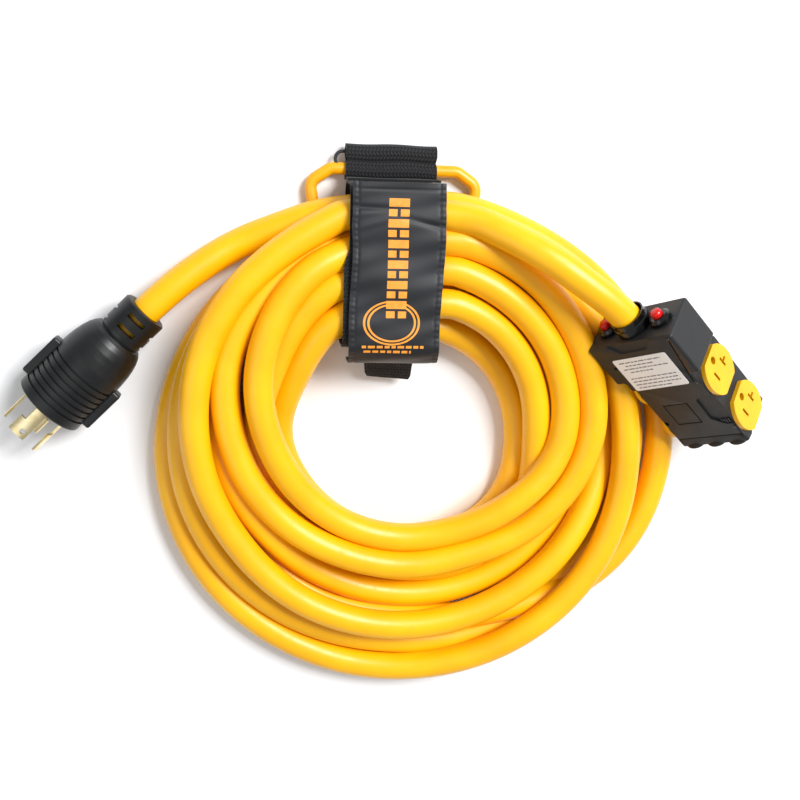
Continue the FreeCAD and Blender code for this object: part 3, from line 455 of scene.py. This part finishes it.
finishes = {
    "cable_jacket": cableJacket(),
    # moulded thermoplastic rubber: near black, satin, slightly greasy highlights
    "plug_rubber": noisyPlastic("moulded black rubber", "0F1012", "08090A", 0.5, 12, (0.34, 0.46), 0.25, IOR=1.5),
    # stamped brass with a thin nickel flash: pale gold
    "blade_brass": brushedMetal("stamped brass", "F7E9BE", "E3CB90", 0.3),
    "contact_brass": brushedMetal("spring brass", "C9A24B", "A97F31", 0.35),
    "screw_steel": brushedMetal("zinc plated steel", "B9BDC2", "8C9096", 0.3),
    # injection moulded nylon inside the plug
    "core_plastic": noisyPlastic("nylon core", "17181A", "101012", 0.6, 8, (0.4, 0.5), 0.2),
    # spark-eroded ABS: charcoal, matt grain, edges slightly shinier
    "case_charcoal": noisyPlastic("charcoal ABS", "17181A", "121213", 0.45, 15, (0.5, 0.6), 0.4, IOR=1.53),
    # polished nylon gland and bushings
    "black_gloss": noisyPlastic("polished black nylon", "0D0D0E", "080809", 0.8, 9, (0.16, 0.26), 0.08, IOR=1.53),
    "black_plastic": noisyPlastic("black phenolic", "151516", "0E0E0F", 0.6, 9, (0.35, 0.45), 0.2),
    # polished coloured nylon, moulded
    "button_red": noisyPlastic("polished red nylon", "D5120C", "B90D09", 1.0, 5, (0.2, 0.3), 0.08, IOR=1.53),
    "socket_yellow": noisyPlastic("yellow nylon face", "F0B400", "E8AA00", 0.5, 12, (0.34, 0.44), 0.18, IOR=1.53),
    # printed vinyl
    "label_white": noisyPlastic("white vinyl label", "FAFAFA", "F2F2F3", 0.4, 10, (0.35, 0.42), 0.1),
    # extruded PVC insulation of the inner wires
    "wire_black": noisyPlastic("black wire PVC", "131313", "0C0C0C", 0.5, 6, (0.35, 0.45), 0.1),
    "wire_red": noisyPlastic("red wire PVC", "B3201A", "9C1813", 0.5, 6, (0.35, 0.45), 0.1),
    "wire_white": noisyPlastic("white wire PVC", "E4E2DC", "D5D2CA", 0.5, 6, (0.35, 0.45), 0.1),
    "wire_green": noisyPlastic("green wire PVC", "1F7A3A", "17662F", 0.5, 6, (0.35, 0.45), 0.1),
    # the second colour is the painted highlight on the yarn crests
    "webbing_black": webbingCloth("black polypropylene webbing", "070708", "34353A",
                                  webbing["row"], webbing["stitch"]),
    "sleeve_slate": sleeveCloth(),
    # knitted hook and loop pile
    "patch_black": noisyPlastic("black hook and loop pile", "161617", "0B0B0C", 0.9, 3, (0.85, 0.95), 0.9),
    # dipped PVC over bent rod
    "handle_yellow": noisyPlastic("dipped yellow PVC", "F6B208", "E9A204", 0.9, 16, (0.34, 0.46), 0.15, IOR=1.53),
}
slotOf = {part["node"]: part["material_slot"] for part in frame["record"]["subparts"]}
for node, thing in frame["nodes"].items():
    thing.data.materials.clear()
    thing.data.materials.append(finishes[slotOf[node]])
cord.data.materials.append(finishes["cable_jacket"])
print("materials are made")


def onlySelect(thing=None):
    if bpy.context.object and bpy.context.object.mode != "OBJECT":
        bpy.ops.object.mode_set(mode="OBJECT")
    bpy.ops.object.select_all(action="DESELECT")
    if thing:
        thing.select_set(True)
        bpy.context.view_layer.objects.active = thing


def applyModifier(thing, kind, **values):
    onlySelect(thing)
    modifier = thing.modifiers.new(kind.lower(), kind)
    for name, value in values.items():
        setattr(modifier, name, value)
    bpy.ops.object.modifier_apply(modifier=modifier.name)


def putAt(thing, matrix):
    # moves the mesh to its place and leaves the object at the origin
    onlySelect(thing)
    thing.matrix_world = matrix @ thing.matrix_basis
    bpy.ops.object.transform_apply(location=True, rotation=True, scale=True)
    thing.data.update()


def addPiece(thing, name, slotName, body="cord", replaced=(), smooth=35, material=None):
    onlySelect(thing)
    thing.name = name
    thing.data.materials.clear()
    thing.data.materials.append(material or finishes[slotName])
    if smooth:
        bpy.ops.object.shade_smooth_by_angle(angle=math.radians(smooth))
    thing.data.update()
    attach(thing, body)
    if replaced:
        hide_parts(*replaced)
    onlySelect()
    return thing


def gridOn(name, columns, rows, surface, wall, cut=(1, 1)):
    # a sheet of quads laid on a surface that gives a point for each place across and along it, 0 to 1
    onlySelect()
    bpy.ops.mesh.primitive_grid_add(x_subdivisions=columns, y_subdivisions=rows, size=1, calc_uvs=True)
    thing = bpy.context.object
    thing.name = name
    for vertex in thing.data.vertices:
        vertex.co = surface(vertex.co.x + 0.5, vertex.co.y + 0.5)
    for corner in thing.data.uv_layers["UVMap"].data:
        corner.uv = (corner.uv[0] * cut[0], corner.uv[1] * cut[1])  # in millimetres of cloth
    applyModifier(thing, "SOLIDIFY", thickness=wall, offset=0)
    onlySelect(thing)
    bpy.ops.object.mode_set(mode="EDIT")
    bpy.ops.mesh.select_all(action="SELECT")
    bpy.ops.mesh.normals_make_consistent(inside=False)
    bpy.ops.object.mode_set(mode="OBJECT")
    return thing


def alongPath(points, share):
    # the point and direction at a share of a polyline's length
    lengths = [math.dist(a, b) for a, b in zip(points, points[1:])]
    left = share * sum(lengths)
    for (a, b), length in zip(zip(points, points[1:]), lengths):
        if left <= length or b is points[-1]:
            t = left / length
            return [p + (q - p) * t for p, q in zip(a, b)], [(q - p) / length for p, q in zip(a, b)]
        left -= length


def arc(centreY, centreZ, radius, start, end, steps=10):
    # points round a centre in the strap's section, angles from +Y towards +Z
    return [
        (centreY + radius * math.cos(math.radians(start + (end - start) * step / steps)),
         centreZ + radius * math.sin(math.radians(start + (end - start) * step / steps)))
        for step in range(steps + 1)
    ]


def bulge(at, middle, wide):
    return math.exp(-(((at - middle) / wide) ** 2))


def between(span, share):
    return span[0] + (span[1] - span[0]) * share


# the strap's pieces are in millimetres, with x from the middle of the strap
sleeve = {
    "middle": -12.0, "width": 58.0, "length": 150.0, "topY": 149.8, "innerY": 34.7, "topZ": 56.0, "lowZ": 27.0,
    "round": 17.0, "wall": 0.0012, "hem": 3.6, "mostIn": -1.1, "mostOut": 1.3,
}
# the sleeve's section, from its lower end up the coil's inner side and along the top to the handle
sleevePath = [(sleeve["innerY"], sleeve["lowZ"])] + arc(
    sleeve["innerY"] + sleeve["round"], sleeve["topZ"] - sleeve["round"], sleeve["round"], 180, 90
) + [(80, sleeve["topZ"]), (115, sleeve["topZ"]), (sleeve["topY"], sleeve["topZ"] - 0.4)]


def onSleeve(across, along, lift=0.0):
    (y, z), (alongY, alongZ) = alongPath(sleevePath, along)
    x = (across - 0.5) * sleeve["width"]
    edge = abs(across - 0.5) * 2
    # shallow dents below the upper hem, a pull across the middle, and turns that show through
    wrinkle = -1.3 * bulge(along, 0.885, 0.014) * bulge(across, 0.12, 0.3)
    wrinkle += 0.9 * bulge(along - 0.12 * across, 0.79, 0.02) * bulge(across, 0.1, 0.35)
    wrinkle -= 1.0 * bulge(along + 0.1 * across, 0.9, 0.014) * bulge(across, 0.85, 0.28)
    wrinkle += 0.55 * math.sin(along * 23 + 3.0 * across) * bulge(along, 0.55, 0.35)
    wrinkle += 0.35 * math.sin(along * 61 - 7 * across) * (0.3 + 0.7 * edge)
    wrinkle -= 0.5 * edge**6
    # the hems' stitching pulls the cloth in and puckers it
    side, top = (1 - edge) / 2 * sleeve["width"], (1 - along) * sleeve["length"]
    pucker = 0.12 * math.sin(along * 230) * bulge(side, 2.0, 2.0)
    wrinkle += pucker - 0.35 * bulge(side, sleeve["hem"], 0.8) - 0.4 * bulge(top, sleeve["hem"] * 1.3, 0.9)
    x += 0.7 * math.sin(along * 9 + 1.4) * edge + 1.2 * (along - 0.5) * edge
    x -= 0.8 * bulge(along, 0.8, 0.06) * (1 - across)
    wrinkle = min(max(wrinkle, sleeve["mostIn"]), sleeve["mostOut"]) + lift
    drop = 0.9 * math.sin(across * 5.2 + 0.6) * max(0.0, 0.12 - along) / 0.12
    return mm(sleeve["middle"] + x, y - alongZ * wrinkle, z + alongY * wrinkle - drop) + frameShift


sleevePiece = gridOn("sleeve", 90, 190, onSleeve, sleeve["wall"], (sleeve["width"], sleeve["length"]))
addPiece(sleevePiece, "sleeve", "sleeve_slate", replaced=["strap_sleeve"], smooth=60)


def patchOnSleeve(acrossSpan, alongSpan, lift, wall, columns, rows):
    # a small raised patch that follows the sleeve
    def surface(across, along):
        return onSleeve(between(acrossSpan, across), between(alongSpan, along), lift)
    return gridOn("patch", columns, rows, surface, wall)


def joinAll(things):
    onlySelect()
    for thing in things:
        thing.select_set(True)
    bpy.context.view_layer.objects.active = things[0]
    bpy.ops.object.join()
    return bpy.context.object


sleeveFace = sleeve["wall"] * 500  # from the middle of the cloth to its face, in millimetres
thread = {"long": 2.6, "gap": 1.5, "thick": 0.35, "rise": 0.08, "wall": 0.0003}


def stitchRow(start, end, axis, at):
    # stitches of thread along one hem; start and end are shares of the sleeve
    size, otherSize = sleeve["length"], sleeve["width"]
    if axis == "across":
        size, otherSize = otherSize, size
    pitch = (thread["long"] + thread["gap"]) / size
    half = thread["thick"] / 2 / otherSize
    side = (at - half, at + half)
    made = []
    for step in range(int((end - start) / pitch)):
        low = start + step * pitch
        span = (low, low + thread["long"] / size)
        spans = (side, span) if axis == "along" else (span, side)
        made.append(patchOnSleeve(*spans, sleeveFace + thread["rise"], thread["wall"], 3, 3))
    return made


hem = sleeve["hem"] / sleeve["width"]
hemLong = sleeve["hem"] / sleeve["length"]
stitches = stitchRow(0.04, 0.98, "along", hem) + stitchRow(0.04, 0.98, "along", 1 - hem)
stitches += stitchRow(0.05, 0.95, "across", 1 - hemLong * 1.3) + stitchRow(0.05, 0.95, "across", hemLong)
threadMaterial = noisyPlastic("black polyester thread", "2A2B31", "1B1C20", 0.3, 3, (0.6, 0.7), 0.3)
addPiece(joinAll(stitches), "sleeve_stitches", "webbing_black", smooth=0, material=threadMaterial)

# places on the sleeve are shares of its width and length
sleevePrint = {
    "ink": "F5A13A", "inkDark": "E58E27", "inkWall": 0.00005, "rise": 0.03,
    "left": 0.39, "right": 0.61, "start": 0.93, "end": 0.375, "blocks": 6,
    "ringMiddle": (0.46, 0.365), "rings": (0.30, 0.255), "ringWide": 0.024, "ringSquash": 0.33, "ringRise": 0.02,
    "dashRows": ((0.14, 0.82, 0.247), (0.16, 0.68, 0.222)), "dashHigh": 0.013, "dashGap": 0.02,
}


def inkPatch(acrossSpan, alongSpan, columns, rows):
    return patchOnSleeve(acrossSpan, alongSpan, sleeveFace + sleevePrint["rise"], sleevePrint["inkWall"], columns, rows)


def inkRing(size):
    across, along = sleevePrint["ringMiddle"]
    wide = sleevePrint["ringWide"]

    def surface(u, v):
        radius = size - wide / 2 + wide * v
        turn = 2 * math.pi * u
        return onSleeve(across + radius * math.cos(turn), along + radius * sleevePrint["ringSquash"] * math.sin(turn),
                        sleeveFace + sleevePrint["rise"] + sleevePrint["ringRise"])
    return gridOn("ring", 90, 3, surface, sleevePrint["inkWall"])


def printBlocks():
    # generic bars down the sleeve, two rings and rows of short dashes
    made = []
    pitch = (sleevePrint["start"] - sleevePrint["end"]) / sleevePrint["blocks"]
    left, right = sleevePrint["left"], sleevePrint["right"]
    for number in range(sleevePrint["blocks"]):
        top = sleevePrint["start"] - number * pitch
        made.append(inkPatch((left, right), (top - pitch * 0.4, top), 8, 6))
        for side in (left, left + (right - left) * 0.58):
            made.append(inkPatch((side, side + (right - left) * 0.42), (top - pitch * 0.86, top - pitch * 0.52), 4, 5))
    made += [inkRing(size) for size in sleevePrint["rings"]]
    for row, (start, end, along) in enumerate(sleevePrint["dashRows"]):
        place = start
        step = 0
        while place < end:
            long = 0.045 + 0.03 * ((step * 7 + row * 3) % 4) / 3
            made.append(inkPatch((place, min(place + long, end)), (along, along + sleevePrint["dashHigh"]), 4, 3))
            place += long + sleevePrint["dashGap"]
            step += 1
    return joinAll(made)


# screen-printed ink: orange, satin, slightly uneven where the cloth's threads show
inkMaterial = noisyPlastic("orange screen ink", sleevePrint["ink"], sleevePrint["inkDark"], 0.6, 3, (0.5, 0.62), 0.3)
addPiece(printBlocks(), "sleeve_print", "sleeve_slate", smooth=60, material=inkMaterial)
print("sleeve is made")

# the band goes once round the bundle as a closed ring; its lower part has slipped to the left
band = {"low": 11.8, "high": 52.2, "round": 10.2, "flat": 275, "slip": -3.2, "slipFrom": 98, "slipOver": 10}
bandPath = (
    [(97, band["low"]), (60, band["low"])]
    + arc(56.0, 22.8, band["round"], 270, 180) + arc(56.0, 42.0, band["round"], 180, 90) + [(97, band["high"])]
    + arc(138.6, 42.0, band["round"], 90, 0) + arc(138.6, 22.0, band["round"], 0, -90) + [(97, band["low"])]
)


def onBand(across, along):
    y, z = alongPath(bandPath, along)[0]
    x = (across - 0.5) * webbing["width"]
    share = min(max((y - band["slipFrom"]) / band["slipOver"], 0.0), 1.0)
    slip = band["slip"] * (1 - share) if z > 20 else 0.0
    return mm(sleeve["middle"] + x + slip, y, z) + frameShift


bandPiece = gridOn("band", 20, 150, onBand, webbing["wall"], (webbing["width"], band["flat"]))
addPiece(bandPiece, "band", "webbing_black", replaced=["strap_band"], smooth=60)

# webbing sewn round the handle's bar, then folded back: from the band's end over the bar, down into the crease,
# round the fold and back under the bar
handleWebbing = {"flat": 82, "creaseY": 162.3, "pinch": 1.6}
loopPath = (
    [(150.6, 30.0), (150.9, 16.0)] + arc(155.6, 7.6, 4.75, 165, 62, 6)
    + [(160.9, 10.9), (handleWebbing["creaseY"], 9.9), (163.9, 10.9)]
    + arc(167.4, 6.2, 5.0, 115, -90, 12) + [(160.0, 1.2), (151.2, 1.6), (150.7, 8.5)]
)


def onLoop(across, along):
    y, z = alongPath(loopPath, along)[0]
    wide = webbing["width"] - handleWebbing["pinch"] * bulge(y, handleWebbing["creaseY"], 2.0)
    x = (across - 0.5) * wide
    sag = 0.35 * math.sin(across * 9 + along * 5) * bulge(along, 0.5, 0.3)
    return mm(sleeve["middle"] + x, y + sag, z) + frameShift


loopPiece = gridOn("handle_webbing", 30, 110, onLoop, webbing["wall"], (webbing["width"], handleWebbing["flat"]))
addPiece(loopPiece, "handle_webbing", "webbing_black", replaced=["strap_handle_loop"], smooth=60)

# the tab's free end hangs, twisted a little, and narrows at its cut end
tab = {"width": 34, "flat": 41, "wall": 0.0018, "freeFrom": 0.45, "cutFrom": 0.92, "narrower": 3.0, "cutNarrower": 2.5}
tabPath = [(37.6, 41.5), (37.4, 27.5), (34.6, 22.0), (27.5, 16.5), (19.0, 11.8)]


def onTab(across, along):
    y, z = alongPath(tabPath, along)[0]
    low = max(0.0, (along - tab["freeFrom"]) / (1 - tab["freeFrom"]))
    cutEnd = max(0.0, along - tab["cutFrom"]) / (1 - tab["cutFrom"])
    x = (across - 0.5) * (tab["width"] - tab["narrower"] * low - tab["cutNarrower"] * cutEnd)
    y -= 1.3 * (across - 0.5) * low * 2
    return mm(sleeve["middle"] + x + 1.2 * low, y, z + 0.5 * math.sin(across * 6) * low) + frameShift


tabPiece = gridOn("tab", 18, 40, onTab, tab["wall"], (tab["width"], tab["flat"]))
addPiece(tabPiece, "tab", "webbing_black", replaced=["strap_tab"], smooth=60)

# two thin sheets of hook and of loop between the band and the sleeve
pile = {"width": 50, "length": 60, "startY": 70, "wall": 0.0006, "lump": 0.05}


def onPatch(low):
    def surface(across, along):
        lump = pile["lump"] * math.sin(across * 40) * math.sin(along * 50)
        x = sleeve["middle"] + (across - 0.5) * pile["width"]
        return mm(x, pile["startY"] + along * pile["length"], low + lump) + frameShift
    return surface


for name, node, low in (("loop_pile", "strap_loop_patch", 53.45), ("hook_pile", "strap_hook_patch", 54.2)):
    addPiece(gridOn(name, 25, 30, onPatch(low), pile["wall"]), name, "patch_black", replaced=[node], smooth=60)

elasticLoop = {
    "points": ((-48.6, 163.2), (-43.2, 168.0), (-40.0, 163.2), (-43.0, 158.2)), "height": 7.2, "radius": 0.0011,
}


def smallLoop():
    # a thin elastic loop that sticks out of the webbing's left edge
    bpy.ops.curve.primitive_bezier_circle_add(radius=0.005)
    ring = bpy.context.object
    spline = ring.data.splines[0]
    for point, (x, y) in zip(spline.bezier_points, elasticLoop["points"]):
        point.handle_left_type = point.handle_right_type = "AUTO"
        point.co = mm(x, y, elasticLoop["height"]) + frameShift
    ring.data.resolution_u = 10
    ring.data.bevel_depth = elasticLoop["radius"]
    ring.data.bevel_resolution = 4
    bpy.ops.object.convert(target="MESH")
    return bpy.context.object


addPiece(smallLoop(), "elastic_loop", "patch_black", smooth=60, material=threadMaterial)

print("strap is made")

# details of the box, in its own frame: w to the right, minus l along, minus d into it, in millimetres
caseDetail = {
    "bodyFront": 2.8, "frame": (17.5, 36.5, 64.5, 85.5), "lineWide": 0.9, "lineDeep": 0.6,
    "endLine": ((6.0, 60.0), 100.5), "border": ((61.2, 2.5), (55.4, 46.0)), "borderDeep": 0.8,
    "headNotch": ((8.3, 11.5), (19.0, 21.6)), "bodyNotch": ((7.6, 10.6), (81.5, 84.8)), "notchDeep": 1.6,
    "fingerNotch": [(45.5, 62.0), (59.5, 60.0), (59.5, 90.0), (52.0, 89.5), (43.5, 83.0), (44.0, 64.0)],
    "fingerDeep": 1.3,
    "stepWall": ((8.0, 56.6), (42.2, 44.4), (30.0, 38.3)),
}


def prismAt(points, bottom, top):
    # a straight-sided block with its outline in the plane of w and l
    onlySelect()
    bpy.ops.mesh.primitive_circle_add(vertices=len(points), radius=0.01, fill_type="NGON")
    thing = bpy.context.object
    for vertex, (w, l) in zip(thing.data.vertices, points):
        vertex.co = mm(w, -l, bottom)
    bpy.ops.object.mode_set(mode="EDIT")
    bpy.ops.mesh.select_all(action="SELECT")
    bpy.ops.mesh.extrude_region_move(TRANSFORM_OT_translate={"value": (0, 0, (top - bottom) / 1000)})
    bpy.ops.mesh.select_all(action="SELECT")
    bpy.ops.mesh.normals_make_consistent(inside=False)
    bpy.ops.object.mode_set(mode="OBJECT")
    return thing


def blockAt(w, l, d):
    return prismAt([(w[0], l[0]), (w[1], l[0]), (w[1], l[1]), (w[0], l[1])], -d[1], -d[0])


def lineBlock(start, end, wide, d):
    # a groove's block along a line in the plane of w and l
    (w0, l0), (w1, l1) = start, end
    length = math.hypot(w1 - w0, l1 - l0)
    across = ((l1 - l0) / length * wide / 2, -(w1 - w0) / length * wide / 2)
    return prismAt([(w0 + across[0], l0 + across[1]), (w1 + across[0], l1 + across[1]),
                    (w1 - across[0], l1 - across[1]), (w0 - across[0], l0 - across[1])], -d[1], -d[0])


def caseCopy(node, name, cutters=(), fillers=()):
    # the shell with its grooves and slots cut in, and with walls added
    onlySelect()
    thing = bpy.data.objects.new(name, frame["nodes"][node].data.copy())
    bpy.context.scene.collection.objects.link(thing)
    onlySelect(thing)
    bpy.ops.object.mode_set(mode="EDIT")
    bpy.ops.mesh.select_all(action="SELECT")
    bpy.ops.mesh.remove_doubles(threshold=1e-6)
    bpy.ops.object.mode_set(mode="OBJECT")
    for cutter in cutters:
        putAt(cutter, boxMatrix())
        applyModifier(thing, "BOOLEAN", operation="DIFFERENCE", solver="EXACT", object=cutter)
        bpy.data.objects.remove(cutter)
    for filler in fillers:
        putAt(filler, boxMatrix())
        applyModifier(thing, "BOOLEAN", operation="UNION", solver="EXACT", object=filler)
        bpy.data.objects.remove(filler)
    onlySelect(thing)
    bpy.ops.object.shade_smooth_by_angle(angle=math.radians(32))
    applyModifier(thing, "WEIGHTED_NORMAL", keep_sharp=True, weight=80)
    return thing


def frontCutters():
    # a frame line, an end line, the head's border line, two notches at the left edge and a finger notch beside the
    # lower socket
    front = caseDetail["bodyFront"]
    left, right, near, far = caseDetail["frame"]
    wide, deep = caseDetail["lineWide"], (front - 1, front + caseDetail["lineDeep"])
    across, low = caseDetail["endLine"]
    return [
        blockAt((left, left + wide), (near, far), deep),
        blockAt((right - wide, right), (near, far), deep),
        blockAt((left + wide, right - wide), (near, near + wide), deep),
        blockAt((left + wide, right - wide), (far - wide, far), deep),
        blockAt(across, (low, low + wide), deep),
        lineBlock(*caseDetail["border"], wide, (-1, caseDetail["borderDeep"])),
        blockAt(*caseDetail["headNotch"], (-1, caseDetail["notchDeep"])),
        blockAt(*caseDetail["bodyNotch"], (front - 1, front + caseDetail["notchDeep"])),
        prismAt(caseDetail["fingerNotch"], -front - caseDetail["fingerDeep"], -front + 1),
    ]


ribs = {"count": 3, "pitch": 16.5, "first": (15.8, -109.6, -9.5), "wide": 17.6, "out": 2.9, "high": 17.0}


def ribPads():
    # three rounded swellings across the far end
    radius = 10
    made = []
    for number in range(ribs["count"]):
        onlySelect()
        bpy.ops.mesh.primitive_uv_sphere_add(segments=32, ring_count=20, radius=radius / 1000)
        pad = bpy.context.object
        pad.scale = (ribs["wide"] / 20, ribs["out"] / radius, ribs["high"] / 20)
        w, y, z = ribs["first"]
        pad.location = mm(w + ribs["pitch"] * number, y, z)
        putAt(pad, boxMatrix())
        made.append(pad)
    return joinAll(made)


rivets = {
    "places": ((61.3, 2.6, 0.0), (55.2, 46.6, 2.8), (57.0, 92.6, 2.8)),
    "radius": 0.0011, "high": 0.0009, "edge": 0.00035, "out": 0.3,
}
ridges = {"count": 4, "pitch": 1.7, "first": (50.6, -86.6, -3.75), "size": (0.0007, 0.0036, 0.0009), "edge": 0.00025}


def smallParts():
    # rivets at the ends of the border line, and grip ridges in the finger notch
    made = []
    for w, l, d in rivets["places"]:
        onlySelect()
        bpy.ops.mesh.primitive_cylinder_add(vertices=24, radius=rivets["radius"], depth=rivets["high"])
        rivet = bpy.context.object
        applyModifier(rivet, "BEVEL", width=rivets["edge"], segments=3)
        rivet.location = mm(w, -l, -d + rivets["out"])
        putAt(rivet, boxMatrix())
        made.append(rivet)
    for number in range(ridges["count"]):
        onlySelect()
        bpy.ops.mesh.primitive_cube_add(size=1)
        ridge = bpy.context.object
        w, y, z = ridges["first"]
        ridge.scale = ridges["size"]
        ridge.location = mm(w + ridges["pitch"] * number, y, z)
        applyModifier(ridge, "BEVEL", width=ridges["edge"], segments=2)
        putAt(ridge, boxMatrix())
        made.append(ridge)
    return joinAll(made)


frontCase = caseCopy("front_shell", "front_case", frontCutters())
addPiece(frontCase, "front_case", "case_charcoal", replaced=["front_shell"], smooth=0)
stepWall = blockAt(*caseDetail["stepWall"])  # between the head's back and the deeper body's back
rearCase = caseCopy("rear_shell", "rear_case", fillers=[stepWall])
addPiece(rearCase, "rear_case", "case_charcoal", replaced=["rear_shell"], smooth=0)
addPiece(ribPads(), "end_ribs", "case_charcoal", smooth=60)
addPiece(smallParts(), "case_rivets", "black_gloss", smooth=30)

# rows of words on the rating label, in millimetres; one row is left out between its two paragraphs
words = {
    "rows": 9, "leftOut": 4, "first": 15.6, "rowPitch": 3.1, "high": 0.95, "face": (-0.34, -0.3),
    "left": 14.5, "indented": (1, 3), "indent": 3.5,
    "right": 49.5, "shortRows": {0: 47.0, 1: 40.0, 2: 49.0, 3: 36.0, 8: 41.0},
    "shortest": 1.3, "longest": 4.6, "gap": 0.7, "jitter": 0.8, "seed": 7,
}


def labelWords():
    # grey bars in rows where a rating label has its text
    seed = np.random.default_rng(words["seed"])
    made = []
    for row in range(words["rows"]):
        if row == words["leftOut"]:
            continue
        indent = words["indent"] if row in words["indented"] else 0.0
        place = words["left"] + indent + seed.uniform(0, words["jitter"])
        end = words["shortRows"].get(row, words["right"])
        l = words["first"] + row * words["rowPitch"]
        while place < end:
            long = seed.uniform(words["shortest"], words["longest"])
            made.append(blockAt((place, min(place + long, end)), (l, l + words["high"]), words["face"]))
            place += long + words["gap"]
    joined = joinAll(made)
    putAt(joined, boxMatrix())
    return joined


# thermal-transfer print: dull dark grey
printMaterial = noisyPlastic("grey label print", "6A6B70", "8A8B90", 0.4, 1.5, (0.5, 0.6), 0.1)
addPiece(labelWords(), "label_print", "label_white", smooth=0, material=printMaterial)
print("box details are made")

studio = {
    "floor": "F1F2F4", "floorSize": 6, "key": (0.95, 0.95, 1.65), "keySize": 0.8, "keyEnergy": 58,
    "fill": (-1.1, -0.3, 1.2), "fillSize": 1.2, "fillEnergy": 4.5, "sky": 0.42,
}
bpy.ops.mesh.primitive_plane_add(size=studio["floorSize"], location=(0, 0, 0))
floor = bpy.context.object
floor.name = "floor"
# matt painted board
floor.data.materials.append(noisyPlastic("matt white board", studio["floor"], "F1F1F2", 2.0, 300, (0.8, 0.85), 0.02))
floor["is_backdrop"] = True
for name in ("key", "fill"):
    bpy.ops.object.light_add(type="AREA", location=studio[name])
    light = bpy.context.object
    light.name = name + "_light"
    light.data.size = studio[name + "Size"]
    light.data.energy = studio[name + "Energy"]
    light.rotation_euler = (Vector((0, 0, 0)) - light.location).to_track_quat("-Z", "Y").to_euler()
world = bpy.data.worlds.new("world")
bpy.context.scene.world = world
world.use_nodes = True
world.node_tree.nodes["Background"].inputs["Color"].default_value = (0.97, 0.985, 1, 1)
world.node_tree.nodes["Background"].inputs["Strength"].default_value = studio["sky"]
bpy.context.scene.view_settings.view_transform = "Standard"
print("floor and lights are set")

bpy.context.view_layer.update()
low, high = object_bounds()
